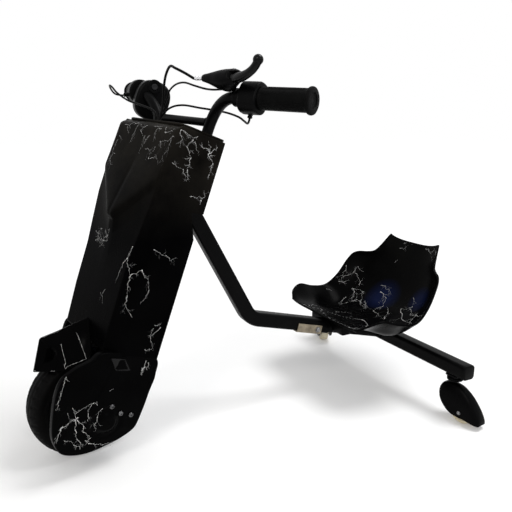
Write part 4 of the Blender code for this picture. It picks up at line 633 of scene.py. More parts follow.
def build_fairing():
    """Printed front shell with its top panel and rear cover, and the cover's screws."""
    grid = placed(fairing_skin(), STEERING)
    skin = mesh_piece("fairing_skin", grid, grid_faces(*grid.shape[:2]), FAIRING_SHELL, "steering",
                      "front_fairing", 45, True)
    wall(skin, 3.5 * MM)
    half = [(82, -56.5), (90, -54), (95, -48), (97, -40), (99, 27)]
    outline = np.array([(-x, y) for x, y in half[::-1]] + half) * MM
    slab("top_panel", outline, 2, 512.3 * MM, 516.3 * MM, 1.6 * MM, STEERING, FAIRING_SHELL, "steering",
         "fairing_top_panel")
    back = rounded_square(1, 0.06, 5) * (95.7 * MM, 104 * MM) + (0, 232 * MM)
    slab("rear_hatch", back, 1, 21 * MM, 24 * MM, 0.9 * MM, STEERING, SHELL, "steering", "rear_cover")
    for k, (x, z) in enumerate(HATCH_SCREWS, 1):
        seat = Matrix.Translation(Vector((x, 24, z)) * MM) @ Matrix.Rotation(math.pi / 2, 4, "Z")
        lathe(f"hatch_screw_{k}", SCREW_HEAD, STEERING @ seat, ZINC, "steering", sides=24)
    return grid


# Button head from its seat to its socket: distance along X, radius
SCREW_HEAD = np.array([(-1.5, 0.6), (-1.5, 3.6), (0.2, 3.7), (1.2, 3.2), (1.9, 2.2), (2.0, 1.5), (0.9, 1.4),
                       (0.9, 0.4)]) * MM


# Side covers

COVER_OUTLINES = {
    "left": np.array([
        (22, 124), (36, 92), (34, 60), (34, 27), (30, -11), (12, -31), (-13, -46), (-38, -58), (-64, -63),
        (-88, -60), (-104, -46), (-116, -25), (-126, 10), (-132, 45), (-130, 70), (-115, 90), (-92, 106),
        (-68, 124)]) * MM,
    "right": np.array([
        (22, 124), (36, 92), (34, 60), (34, 27), (30, -11), (12, -31), (-13, -42), (-38, -44), (-62, -34),
        (-74, -12), (-77, 20), (-76, 56), (-66, 90), (-55, 124)]) * MM,
}
COVER_EDGE = 4 * MM

# A cover's flange, from its face back and round to its inside: distance in from the outline, depth (mm)
COVER_FLANGE = ((0, 7), (0, 10), (0, 13), (1, 14), (2.5, 14), (3, 12), (3.4, 6), (6, 3.4))

# Raised facet at the top of the left cover (y, z)
COVER_LEDGE = np.array([(-62, 117), (-34, 118), (-18, 97), (-47, 95)]) * MM
COVER_BOLTS = {"left": ((-31, 31), (-9, 18), (11, 16)), "right": ((11, 16), (-9, 18))}
BOSS_AT = np.array([-30.4, 0]) * MM


def within(points, corners):
    """How far inside a convex outline points lie; less than nothing outside it."""
    run = np.roll(corners, -1, axis=0) - corners
    normal = np.stack([-run[:, 1], run[:, 0]], axis=1) / np.linalg.norm(run, axis=1, keepdims=True)
    gaps = np.einsum("...kc,kc->...k", points[..., None, :] - corners, normal)
    middle = np.einsum("kc,kc->k", corners.mean(0) - corners, normal)
    return (gaps * np.sign(middle)).min(-1)


def soft_step(value, width):
    """0 to 1 over a width, level at both ends: t^2 (3 - 2 t)."""
    t = np.clip(value / width, 0, 1)
    return t * t * (3 - 2 * t)


def cover_face(places, label):
    """How far out a cover's face lies at (y, z): a plane that leans in below the waist, plus soft steps for
    the boss over the axle, the ring round it and, on the left, the facet and the raised field."""
    y, z = places[..., 0], places[..., 1]
    x = 98 * MM - 10 * MM * np.maximum(60 * MM - z, 0) / (115 * MM)
    reach = np.hypot(y - BOSS_AT[0], z - BOSS_AT[1])
    x = x + 6 * MM * soft_step(24 * MM - reach, 12 * MM) - 1.2 * MM * soft_step(32 * MM - reach, 5 * MM)
    if label == "left":
        x = x + 2.2 * MM * soft_step(within(places, COVER_LEDGE), 2.5 * MM)
        x = x + 1.4 * MM * soft_step(y + 75 * MM - 0.25 * z, 3 * MM) * soft_step(z + 20 * MM, 12 * MM)
    return x


def cover_patch():
    """The left cover's face as a plain grid: rows down from the top, columns from its front edge back."""
    z, y = np.meshgrid(np.linspace(120, -60, 150), np.linspace(-130, 34, 140), indexing="ij")
    places = np.stack([y, z], axis=-1) * MM
    return np.concatenate([cover_face(places, "left")[..., None], places], axis=-1)


def build_side_covers():
    """Each cover runs from the middle of its face out over a round rim, down the flange and back inside.
    Where it passes the fork tube at its top, its flange is a quarter as deep."""
    for label, side in SIDES.items():
        outline = outline_through(COVER_OUTLINES[label], 168)
        centre = outline.mean(0)
        rim = inset(outline, COVER_EDGE)
        turn = np.linspace(0.25, math.pi / 2, 6)
        rings = [(centre + (rim - centre) * share, 0) for share in np.linspace(0.02, 1, 34)]
        rings += [(inset(outline, COVER_EDGE * (1 - math.sin(a))), COVER_EDGE * (1 - math.cos(a)))
                  for a in turn]
        rings += [(inset(outline, less * MM), depth * MM) for less, depth in COVER_FLANGE]
        core = inset(outline, 6 * MM)
        rings += [(centre + (core - centre) * share, 3 * MM) for share in (0.9, 0.6, 0.3, 0.02)]
        grid = []
        for edge, depth in rings:
            at_tube = np.exp(-((edge[:, 0] / (16 * MM)) ** 4)) * (edge[:, 1] > 95 * MM) * (depth > COVER_EDGE)
            x = cover_face(edge, label) - depth * (1 - 0.75 * at_tube)
            grid.append(np.column_stack([side * x, edge]))
        points, faces = capped(placed(np.array(grid), STEERING))
        solid_piece(f"cover_{label}", points, faces, SHELL, "steering", f"side_cover_{label}", 50)
        if label == "left":
            plate = inset(COVER_LEDGE, 1.5 * MM)
            slab("cover_ledge", plate, 0, 98.6 * MM, 101.2 * MM, 0.7 * MM, STEERING, LEDGE, "steering",
                 "side_cover_left")
        for number, (y, z) in enumerate(COVER_BOLTS[label], 1):
            place = np.array([y, z]) * MM
            seat = Matrix.Translation((side * (float(cover_face(place, label)) + 1.4 * MM), *place))
            turn = Matrix.Rotation(0 if side > 0 else math.pi, 4, "Z") @ Matrix.Scale(1.25, 4)
            lathe(f"cover_screw_{label}_{number}", SCREW_HEAD, STEERING @ seat @ turn, BOLT, "steering",
                  f"cover_bolt_{label}_{number}", sides=30)


# Mudguard

# Ridge and skirt of each row, low front to top: ridge (y, z), skirt (x, y, z), all mm
FENDER_ROWS = np.array([(-135, 47, 42, -100.5, 69), (-141, 105, 42.5, -98, 72), (-115, 120, 43.5, -90, 77),
                        (-94, 134, 45, -70, 88), (-68.5, 150, 47, -68.5, 108)])
LAMP_ARCH = np.array([(8.5, 64), (24, 79), (23, 91), (15, 101), (8.5, 94)]) * MM


def fender_grid():
    """Rows run from the right skirt over the ridge to the left one. With u from -1 to 1 across, x is
    skirt x * u, y and z go straight from ridge to skirt in |u|, and z bulges by 3 |u| (1 - |u|) behind the
    prow."""
    shares = np.concatenate([np.linspace(0, 1, 44), np.linspace(1, 4, 52)[1:]])
    ridge_y, ridge_z, skirt_x, skirt_y, skirt_z = resampled(FENDER_ROWS, shares).T
    u = np.linspace(-1, 1, 121)
    across = np.abs(u)
    x = skirt_x[:, None] * u
    y = ridge_y[:, None] + (skirt_y - ridge_y)[:, None] * across
    bulge = 3 * (across * (1 - across)) * (shares > 1)[:, None]
    z = ridge_z[:, None] + (skirt_z - ridge_z)[:, None] * across + bulge
    return blurred(np.stack([x, y, z], axis=-1), 2) * MM


def build_fender():
    """Thin mudguard with an arched recess in each side of its prow, a smoked lens in each."""
    grid = fender_grid()
    inside = within(np.stack([np.abs(grid[..., 0]), grid[..., 2]], axis=-1), LAMP_ARCH)
    sunk = soft_step(inside + 0.5 * MM, 2 * MM)[..., None]
    front = np.arange(len(grid))[:, None, None] < 46
    deep = grid.copy()
    deep[..., 1] = -117 * MM
    grid = np.where(front, grid + (deep - grid) * sunk, grid)
    grid = placed(grid, STEERING)
    skin = mesh_piece("mudguard", grid, grid_faces(*grid.shape[:2]), SHELL, "steering", "front_fender", 40,
                      True)
    wall(skin, 3 * MM, 0.6 * MM)
    for label, side in SIDES.items():
        lens = inset(LAMP_ARCH, 1.2 * MM) * (side, 1)
        lens = np.concatenate([lens + (np.roll(lens, -1, 0) - lens) * s for s in (0, 0.25, 0.5, 0.75)],
                              axis=1)
        lens = lens.reshape(-1, 2)
        slab(f"lamp_{label}", lens, 1, -119.4 * MM, -117.2 * MM, 0.5 * MM, STEERING, LENS, "steering",
             f"headlamp_lens_{label}")
    return grid


# Seat

# Stations from the front lip to the top of the back: the middle line (y, z) and the rim (x, y, z)
SEAT_MIDDLE = np.array([(516, 180), (540, 171), (575, 164), (620, 160), (665, 162), (705, 175), (737, 205),
                        (757, 245), (768, 285), (774, 316)]) * MM
SEAT_RIM = np.array([(124, 517, 180), (146, 532, 196), (158, 560, 205), (163, 600, 194), (165, 640, 192),
                     (160, 672, 216), (153, 697, 253), (141, 713, 272), (103, 739, 279), (79, 773, 326)]) * MM


def seat_bowl():
    """Across a row, u from -1 to 1: x = rim x * (0.35 sin(u pi/2) + 0.65 u), and y, z rise from the middle to
    the rim as |u|^2.6. Two wells, bell-shaped about |u| = 0.58, then lower the bowl."""
    shares = np.linspace(0, len(SEAT_MIDDLE) - 1, 110)
    middle, rim = splined(SEAT_MIDDLE, shares), splined(SEAT_RIM, shares)
    u = np.linspace(-1, 1, 97)
    rise = np.abs(u) ** 2.6
    x = rim[:, :1] * (np.sin(u * math.pi / 2) * 0.35 + u * 0.65)
    y = middle[:, :1] + (rim[:, 1:2] - middle[:, :1]) * rise
    beside = np.exp(-(((np.abs(u) - 0.58) / 0.2) ** 2))
    well = beside * np.exp(-(((middle[:, :1] - 632 * MM) / (55 * MM)) ** 2))
    z = middle[:, 1:] + (rim[:, 2:] - middle[:, 1:]) * rise - well * 17 * MM
    return np.stack([x, y, z], axis=-1)


def build_seat():
    """Bucket seat on its stand of a plate, two posts and four bolts, with two ears under its front lip."""
    grid = placed(seat_bowl(), KART)
    seat = mesh_piece("bucket_seat", grid, grid_faces(*grid.shape[:2]), SEAT_SHELL, "rear", "seat_shell",
                      sharp=60)
    wall(seat, 4 * MM, 1.2 * MM)
    top = BAR_CENTRE.z + 45.4 * MM
    plate = rounded_square(1, 0.12, 6) * (55 * MM, 32.5 * MM) + (0, BAR_Y - 67.5 * MM)
    slab("seat_plate", plate, 2, top - 4 * MM, top, 0.7 * MM, KART, FRAME, "rear", "seat_bracket")
    ears = rounded_square(1, 0.25, 6)
    for label, side in SIDES.items():
        slab(f"front_ear_{label}", ears * (21.5 * MM, 11 * MM) + (side * 39.4 * MM, 543 * MM), 2, 146 * MM,
             164.6 * MM, 0.7 * MM, KART, FRAME, "rear")
    for number, post_y in enumerate((599 * MM, 646 * MM), 1):
        base = slide_frame(post_y).translation.z + 10 * MM
        post = rounded_square(1, 0.25, 5) * (12.4 * MM, 7 * MM) + (0, post_y)
        slab(f"seat_post_{number}", post, 2, base, top - 3.4 * MM, 0.5 * MM, KART, FRAME, "rear",
             "seat_bracket")
        for side in SIDES.values():
            seat_bolt = Matrix.Translation((side * 42 * MM, post_y, top - 4.2 * MM))
            turn = Matrix.Rotation(math.pi / 2, 4, "Y")
            lathe(f"seat_bolt_{number}_{side}", HEX_HEAD * 0.8, KART @ seat_bolt @ turn, STEEL, "rear",
                  "seat_bracket", sides=36, shape=hexed)
    return grid


# Front wheel

def groove(grid):
    """36 slanted sipes, 1.6 mm deep, in each shoulder of the tread and a ring 1.1 mm deep beside its crown on
    each side: the radius shrinks by soft steps of the turn's phase and by e^(-((across - 0.24) / 0.05)^2)."""
    x, y, z = grid[..., 0], grid[..., 1], grid[..., 2]
    radius, angle = np.hypot(y, z), np.arctan2(z, y)
    across = np.abs(x) / (25 * MM)
    phase = (angle * 36 / math.tau + across * 0.55 + 0.5 * (x > 0)) % 1.0
    sipe = soft_step(0.34 - np.abs(phase - 0.5) * 2, 0.16)
    cut = sipe * soft_step(across - 0.34, 0.1) * soft_step(0.97 - across, 0.1)
    ring = np.exp(-(((across - 0.24) / 0.05) ** 2))
    on_tread = soft_step(radius - 84 * MM, 6 * MM)
    less = 1 - (cut * 1.6 + ring * 1.1) * on_tread * MM / radius
    return np.stack([x, y * less, z * less], axis=-1)


def build_front_wheel():
    """Tyre whose crown is the arch x = -27 cos a, r = 84 + 16 sin(a)^0.72 on ribbed sidewalls, and the hub
    motor's shell with twelve screws round its right cover."""
    turn = np.linspace(0, math.pi, 29)
    tread = np.stack([-27 * np.cos(turn), 84 + 16 * np.sin(turn) ** 0.72], axis=1)
    sidewall = [(-20, 68.2), (-22.5, 70), (-22.5, 73), (-25.6, 75), (-26.7, 80)]
    profile = np.array(sidewall + tread.tolist() + [(-x, r) for x, r in sidewall[::-1]] + [sidewall[0]]) * MM
    lathe("tyre", profile, AXLE, TYRE, "front_wheel", "front_tyre", sides=432, sharp=50, shape=groove)
    side = [(44, 6.4), (44, 15), (43, 18.5), (38, 20), (35.5, 24), (26, 44), (23.4, 48), (23, 50), (21, 51.5),
            (21, 55), (23, 56.5), (23, 60), (22, 63), (23, 65.5), (23, 67.6)]
    profile = np.array(side + [(-x, r) for x, r in side[::-1]] + [side[0]]) * MM
    lathe("motor", profile, AXLE, MOTOR, "front_wheel", "hub_motor", sides=96)
    for number in range(12):
        turn = Matrix.Rotation(number * math.tau / 12, 4, "X")
        turn = turn @ Matrix.Translation(Vector((-34.4, 0, 31)) * MM)
        turn = turn @ Matrix.Rotation(math.pi, 4, "Z") @ Matrix.Rotation(math.radians(24), 4, "Y")
        lathe(f"motor_screw_{number + 1}", SCREW_HEAD * 0.8, AXLE @ turn, STEEL, "front_wheel", sides=16)


# Fork and handlebar

# Where the fork tube starts to bend, and how far in from the bar's end the bend is done
BEND_LOW, BEND_OUT = 516 * MM, 129 * MM


def fork_line(side, rows=150):
    """Up the fork tube, round a cubic bend and out along the swept bar (steering frame)."""
    bar = bar_local(side)
    out = np.array((bar.to_3x3() @ Vector((side, 0, 0))))
    end = np.array(bar.translation)
    low = np.array((side * FORK_X, 0, BEND_LOW))
    high = end - out * (BEND_OUT / math.cos(BAR_SWEEP))
    turn = bend(low, low + (0, 0, 35 * MM), high - out * 30 * MM, high, 40)
    return evened(np.vstack([(side * FORK_X, 0, 35 * MM), turn, end - out * 2 * MM]), rows)


def build_fork():
    """Both fork tubes with their dropouts and tabs, and the bar across them with a weld bead at each end."""
    for label, side in SIDES.items():
        node = f"fork_tube_{label}"
        path = fork_line(side)
        tube(f"fork_{label}", path, circle(TUBE_RADIUS, 32), STEERING, FRAME, "steering", node, (0, 1, 0.01))
        foot = [(-39.4, -12), (-30.4, -15), (-21.4, -15), (-12, -4), (9, 35), (8, 60), (7, 90), (-7, 90),
                (-10, 52), (-24, 22), (-36.4, 16), (-43.4, 6)]
        low, high = sorted((side * 77.5 * MM, side * 72.5 * MM))
        slab(f"dropout_{label}", np.array(foot) * MM, 0, low, high, 0.8 * MM, STEERING, FRAME, "steering",
             node)
        for name, level in (("upper", 440), ("lower", 146)):
            plate = np.array([(-9.5, level), (-5.5, level), (-5.5, level + 22), (-9.5, level + 22)]) * MM
            low, high = sorted((side * 84 * MM, side * 95.9 * MM))
            slab(f"tab_{name}_{label}", plate, 0, low, high, 0.5 * MM, STEERING, FRAME, "steering", node)
        low, high = sorted((side * 50 * MM, side * 79.5 * MM))
        plate = np.array([(-8, 136), (8, 136), (8, 140), (-8, 140)]) * MM
        slab(f"battery_tab_{label}", plate, 0, low, high, 0.5 * MM, STEERING, FRAME, "steering", node)
    across = STEERING @ Matrix.Translation((0, 0, CROSS_BAR_Z))
    line = np.linspace((-76, 0, 0), (76, 0, 0), 24) * MM
    tube("cross_tube", line, circle(7 * MM, 28), across, FRAME, "steering", "handlebar_crossbar")
    for side in SIDES.values():
        bead = np.array([(74, 7), (75, 8.4), (76.4, 9.2), (78, 9), (79, 7.2)]) * (side, 1) * MM
        lathe(f"cross_weld_{side}", bead, across, FRAME, "steering", "handlebar_crossbar", sides=40,
              shape=rippled)


def rippled(grid):
    """A weld bead's ripples: 22 waves of 0.35 mm round it."""
    y, z = grid[..., 1], grid[..., 2]
    wave = 1 + 0.35 * MM * np.cos(np.arctan2(z, y) * 22) / np.maximum(np.hypot(y, z), 1e-6)
    return np.stack([grid[..., 0], y * wave, z * wave], axis=-1)


# Handlebar ends

LEFT_BAR = STEERING @ bar_local(1)
RIGHT_BAR = STEERING @ bar_local(-1)
CASE_OUTER, CASE_INNER, CASE_JOINT = 88.3 * MM, 122.3 * MM, 17 * MM


def build_grip(name, matrix, side, body, node):
    """Rubber sleeve between two plain bands, with a flange and a dished end with a hole. Its radius is
    17.45 mm and ribs of 0.55 |cos 24 a|^0.7 mm, in three panels round it."""
    angle = np.arange(192) * math.tau / 192
    along = np.concatenate([np.linspace(-88, -84, 5), np.linspace(-83, -14, 60), np.linspace(-13, -7.5, 6)])
    plain = soft_step(along + 84, 2.5) * soft_step(-9 - along, 3)
    panel = 0.5 + 0.5 * np.tanh(6 * np.cos(angle * 3 + 0.4))
    rib = 0.55 * np.abs(np.cos(angle * 24)) ** 0.7 * panel
    radius = 17.0 + 0.6 * np.exp(-(((along + 86) / 2.2) ** 2))[:, None] + plain[:, None] * rib[None] + 0.45
    end = [(-6.6, 18.6), (-5.6, 20.2), (-4.2, 20.7), (-2.4, 20.7), (-1.0, 20.2), (-0.2, 18.9), (-0.2, 12.5),
           (-1.6, 11.6), (-1.8, 4.2), (-5.2, 3.9), (-5.4, 0.4)]
    x = np.concatenate([[-88, -88], along, [e[0] for e in end]])
    rows = np.array([np.full(192, 9.9), np.full(192, 16.6), *radius, *[np.full(192, e[1]) for e in end]])
    grid = np.stack([np.broadcast_to(side * x[:, None], rows.shape), rows * np.cos(angle),
                     rows * np.sin(angle)], -1)
    points, faces = capped(placed(grid * MM, matrix))
    solid_piece(name, points, faces, RUBBER, body, node, 35)


def moulding(name, outline, low, high, edge, matrix, look, body, node, swell=0.0, steps=7):
    """A moulded case along X: quarter-round rims, and a size that swells to 1 + swell (1 - s^2), with s from
    -1 to 1 along it."""
    outline = np.asarray(outline, float)
    turn = np.linspace(0, math.pi / 2, steps)
    rings = [(low + edge * (1 - math.cos(t)), edge * (1 - math.sin(t))) for t in turn]
    rings += [(x, 0) for x in np.linspace(low + edge, high - edge, 10)[1:-1]]
    rings += [(high - edge * (1 - math.cos(t)), edge * (1 - math.sin(t))) for t in turn[::-1]]
    middle = outline.mean(0)
    grid = []
    for x, less in rings:
        grow = 1 + swell * (1 - (2 * (x - low) / (high - low) - 1) ** 2)
        grid.append(np.column_stack([np.full(len(outline), x),
                                     middle + (inset(outline, less) - middle) * grow]))
    points, faces = capped(placed(np.array(grid), matrix))
    return solid_piece(name, points, faces, look, body, node, 40)


def build_left_controls():
    """Left grip, switch case with the joint of its halves, its gland, and the horn button in its bezel."""
    build_grip("grip_sleeve_left", LEFT_BAR, 1, "steering", "grip_left")
    case = superellipse(20 * MM, 24.5 * MM, 2.6, 64)
    moulding("switch_case", case, -CASE_INNER, -CASE_OUTER, 3.5 * MM, LEFT_BAR, PLASTIC, "steering",
             "switch_housing", 0.01)
    seam, joint = superellipse(20.25 * MM, 24.75 * MM, 2.6, 64), CASE_JOINT - CASE_INNER
    slab("switch_seam", seam, 0, joint - 0.4 * MM, joint + 0.4 * MM, 0.2 * MM, LEFT_BAR, RUBBER, "steering",
         "switch_housing")
    mouth = Vector((-110, 10, -29)) * MM
    gland = np.array([(0, 2.1), (0.4, 3.4), (1.2, 4.0), (3, 4.0), (3.6, 3.4), (4.4, 3.4), (5, 4.0),
                      (12, 4.4)]) * MM
    up = Matrix.Translation(mouth) @ Matrix.Rotation(-math.pi / 2, 4, "Y")
    lathe("switch_gland", gland, LEFT_BAR @ up, PLASTIC, "steering", "switch_housing", sides=28)
    spot = Matrix.Translation(Vector((-105.3, 19, 8)) * MM) @ Matrix.Rotation(math.pi / 2, 4, "Z")
    cap = np.array([(-4, 0.3), (-4, 6), (3.2, 6), (4.1, 5.6), (4.5, 4.8), (4.3, 3.0), (4.1, 0.3)]) * MM
    lathe("horn_cap", cap, LEFT_BAR @ spot, BUTTON, "horn_button", "horn_button", sides=40)
    ring = np.array([(-0.6, 6.5), (1.6, 6.5), (2.2, 7.0), (2.2, 8.0), (1.4, 8.8), (-0.6, 8.8),
                     (-0.6, 6.5)]) * MM
    lathe("horn_bezel", ring, LEFT_BAR @ spot, PLASTIC, "steering", "switch_housing", sides=40)


# Brake perch from its mouth to its tail: middle (x, y, z) from the pivot, half width, half height
PERCH = np.array([(19, -6, 0.5, 1.2, 2.6), (17.5, -5.5, 0.5, 4.2, 6), (13, -3, 0, 7.8, 9), (8, -1, 0, 11, 11),
                  (0, 2, -1, 15, 13.4), (-8, 6, -2, 18.5, 15.2), (-16, 8, -2.5, 19.4, 15.8),
                  (-26, 7.5, -2.5, 17.4, 14.2), (-37, 5.8, -2.2, 13, 11.2), (-47, 4.2, -1.8, 9.4, 8),
                  (-55, 3.4, -1.5, 6.6, 6.2), (-59.5, 4, -1.5, 5, 5), (-60.6, 4, -1.5, 3.6, 3.6)]) * MM
CLAMP_AT = Vector((-130.1, 0, 0)) * MM
PIVOT = CLAMP_AT + Vector((2.1, -30, 21)) * MM
PIVOT_FRAME = LEFT_BAR @ Matrix.Translation(PIVOT)
PIN_AXIS = PIVOT_FRAME @ Matrix.Rotation(-math.pi / 2, 4, "Y")


def build_perch():
    """Brake perch with its clamp and pin. Its sections are |u|^2.3 + |v|^2.3 = 1 at its stations, slotted at
    its mouth for the lever."""
    stations = splined(PERCH, np.linspace(0, len(PERCH) - 1, 66))
    unit = superellipse(1, 1, 2.3, 40)
    grid = np.broadcast_to(np.array(PIVOT) + stations[:, None, :3], (66, 40, 3)).copy()
    grid[..., 1] += unit[None, :, 0] * stations[:, 3:4]
    grid[..., 2] += unit[None, :, 1] * stations[:, 4:5]
    ahead = PIVOT.y - 6 * MM - grid[..., 1]
    level = np.abs(grid[..., 2] - PIVOT.z)
    mouth = soft_step(grid[..., 0] - PIVOT.x + 6 * MM, 10 * MM) * (level < 5.6 * MM)
    grid[..., 1] += np.maximum(ahead, 0) * mouth
    points, faces = capped(placed(grid, LEFT_BAR))
    solid_piece("perch_body", points, faces, PLASTIC, "steering", "brake_perch", 40)
    clamp = np.array([(-7.5, 13.0), (-7.0, 14.1), (-6.2, 14.5), (-1, 14.5), (-0.6, 14.1), (0.6, 14.1),
                      (1, 14.5), (6.2, 14.5), (7.0, 14.1), (7.5, 13.0)]) * MM
    lathe("perch_clamp", clamp, LEFT_BAR @ Matrix.Translation(CLAMP_AT), PLASTIC, "steering", "brake_perch")
    pin = np.array([(-10.6, 0.4), (-10.6, 3.4), (-10.0, 3.8), (-9.2, 3.8), (-9.2, 2.5), (11, 2.5), (11, 3.9),
                    (12.4, 3.9), (13, 3.2), (13, 1.8), (12.2, 1.6), (12.2, 0.3)]) * MM
    lathe("perch_pin", pin, PIN_AXIS, STEEL, "steering", "lever_pin", sides=32)


def build_lever():
    """Brake lever with its ball and eye, whose blade's sections are |u|^2.4 + |v|^2.4 = 1, and the cable
    adjuster."""
    tip = np.array((53, -22, 18.5))
    path = evened(bend((0, 0, -2), (17, -10, -6), tip * (0.95, 0.95, -0.12), tip, 90), 90) * MM
    along = np.linspace(0, 1, 90)
    wide = 7.4 - 1.4 * soft_step(along - 0.25, 0.5) + 1.2 * np.exp(-(((along - 0.03) / 0.08) ** 2))
    high = 7.4 - 1.6 * soft_step(along - 0.2, 0.5)
    section = superellipse(1, 1, 2.4, 36)[None] * np.stack([wide, high], 1)[:, None] * MM
    tube("lever_blade", path, section, PIVOT_FRAME, LEVER, "brake_lever", "brake_lever", (0, 0, 1), 50)
    turn = np.linspace(0.06, math.pi - 0.06, 20)
    ball = np.stack([-7.8 * np.cos(turn), 7.8 * np.sin(turn)], 1) * MM
    lathe("lever_ball", ball, PIVOT_FRAME @ Matrix.Translation(Vector(tip) * MM), LEVER, "brake_lever",
          "brake_lever", sides=40)
    eye = np.array([(-5.4, 2.8), (-5.4, 6.3), (-4.8, 7.0), (4.8, 7.0), (5.4, 6.3), (5.4, 2.8),
                    (-5.4, 2.8)]) * MM
    lathe("lever_eye", eye, PIN_AXIS, LEVER, "brake_lever", "brake_lever", sides=40)
    barrel = np.array([(-72.9, 2.3), (-72.9, 3.2), (-72.2, 3.6), (-69, 3.6), (-68.6, 3.0), (-68, 3.0),
                       (-67.6, 3.6), (-64, 3.6), (-63.6, 3.0), (-59.0, 3.0), (-59.0, 2.3), (-72.9, 2.3)]) * MM
    place = LEFT_BAR @ Matrix.Translation(CLAMP_AT + Vector((0, -26, 19.5)) * MM)
    lathe("adjuster_barrel", barrel, place, CHROME, "steering", "cable_adjuster", sides=36, shape=knurled)


def knurled(grid):
    """Nine flutes round a barrel where it is thick: the radius loses 0.25 mm * (0.5 + 0.5 cos 9 a)."""
    y, z = grid[..., 1], grid[..., 2]
    radius = np.hypot(y, z)
    wave = 1 - np.where(radius > 3.4 * MM, 0.25 * MM, 0) * (0.5 + 0.5 * np.cos(np.arctan2(z, y) * 9)) / radius
    return np.stack([grid[..., 0], y * wave, z * wave], axis=-1)


def build_right_controls():
    """Twist grip, throttle case with its gland, display case with its button."""
    build_grip("grip_sleeve_right", RIGHT_BAR, -1, "throttle_grip", "throttle_grip")
    case = superellipse(24.5 * MM, 24.5 * MM, 2.15, 64)
    moulding("throttle_case", case, CASE_OUTER, CASE_INNER, 4 * MM, RIGHT_BAR, PLASTIC, "steering",
             "throttle_housing")
    seam, joint = superellipse(24.7 * MM, 24.7 * MM, 2.15, 64), CASE_OUTER + CASE_JOINT
    slab("throttle_seam", seam, 0, joint - 0.4 * MM, joint + 0.4 * MM, 0.2 * MM, RIGHT_BAR, RUBBER,
         "steering", "throttle_housing")
    mouth = Vector((105, -30, -17)) * MM
    run = Vector((0, -2, -1)).normalized()
    gland = np.array([(0, 2.0), (0.4, 3.4), (1.2, 4.0), (3, 4.0), (3.6, 3.4), (4.4, 3.4), (5, 4.0),
                      (14, 4.4)]) * MM
    turn = (-run).to_track_quat("X", "Z").to_matrix().to_4x4()
    lathe("throttle_gland", gland, RIGHT_BAR @ Matrix.Translation(mouth) @ turn, PLASTIC, "steering",
          "throttle_housing", sides=28)
    low, high = 122.6 * MM, 162.6 * MM
    outline = superellipse(33 * MM, 38 * MM, 2.5, 96) + np.array((19.5, -9)) * MM
    moulding("display_case", outline, low, high, 6 * MM, RIGHT_BAR, PLASTIC, "steering", "display_box", 0.012)
    at = RIGHT_BAR @ Matrix.Translation(Vector((162.6, 14, 17)) * MM)
    bezel = np.array([(-3, 6.5), (0.6, 6.5), (1.4, 7.2), (1.8, 9), (1.8, 12.5), (1.0, 13.6), (-3, 13.8),
                      (-3, 6.5)]) * MM
    lathe("button_bezel", bezel, at, PLASTIC, "steering", "display_box", sides=56)
    cap = np.array([(-3.7, 0.3), (-3.7, 6), (1.6, 6), (2.3, 5.5), (2.5, 4.6), (2.2, 3), (2.1, 0.3)]) * MM
    lathe("power_cap", cap, at, DARK_CHROME, "power_button", "power_button", sides=44)


# Frame

FRAME_BEND_RADIUS = 46 * MM
FRAME_HALF, FRAME_CORNER = 15 * MM, 6 * MM

# How far from the steering axis the main tube's top is cut, and its weld bead lies
HEAD_CUT, HEAD_BEAD = 21.5 * MM, 21.8 * MM
HEAD_AXIS = KART.inverted() @ STEERING @ Matrix.Rotation(-STEER_TURN, 4, "Z")
HEAD_RUN = np.array((0, math.sin(RAKE), math.cos(RAKE)))


def square_path(path, half, corner):
    """A square section with round corners carried along a path in the kart's middle plane."""
    return carried(np.asarray(path, float), rounded_square(half, corner, 7), (1, 0, 0))


def from_head_axis(points):
    """Distance of points from the steering axis, in the kart's axes."""
    away = points - np.array(HEAD_AXIS.translation)
    return np.linalg.norm(away - (away @ HEAD_RUN)[..., None] * HEAD_RUN, axis=-1)


def frame_line():
    """The main tube's centre line: straight down, an arc of 46 mm radius that touches both legs, and straight
    back along the slide's slope."""
    head, corner = np.array(FRAME_HEAD), np.array(FRAME_BEND)
    rear = np.array(slide_frame(530 * MM).translation)
    one = (head - corner) / np.linalg.norm(head - corner)
    two = (rear - corner) / np.linalg.norm(rear - corner)
    half = math.acos(float(one @ two)) / 2
    reach = FRAME_BEND_RADIUS / math.tan(half)
    centre = corner + (one + two) / np.linalg.norm(one + two) * FRAME_BEND_RADIUS / math.sin(half)
    start, end = corner + one * reach - centre, corner + two * reach - centre
    sweep = math.acos(float(start @ end) / FRAME_BEND_RADIUS**2)
    t = np.linspace(0, 1, 24)[:, None]
    arc = centre + (start * np.sin((1 - t) * sweep) + end * np.sin(t * sweep)) / math.sin(sweep)
    down = np.linspace(head, arc[0], 50)[:-1]
    back = np.linspace(arc[-1], rear, 40)[1:]
    return np.vstack([down, arc, back])


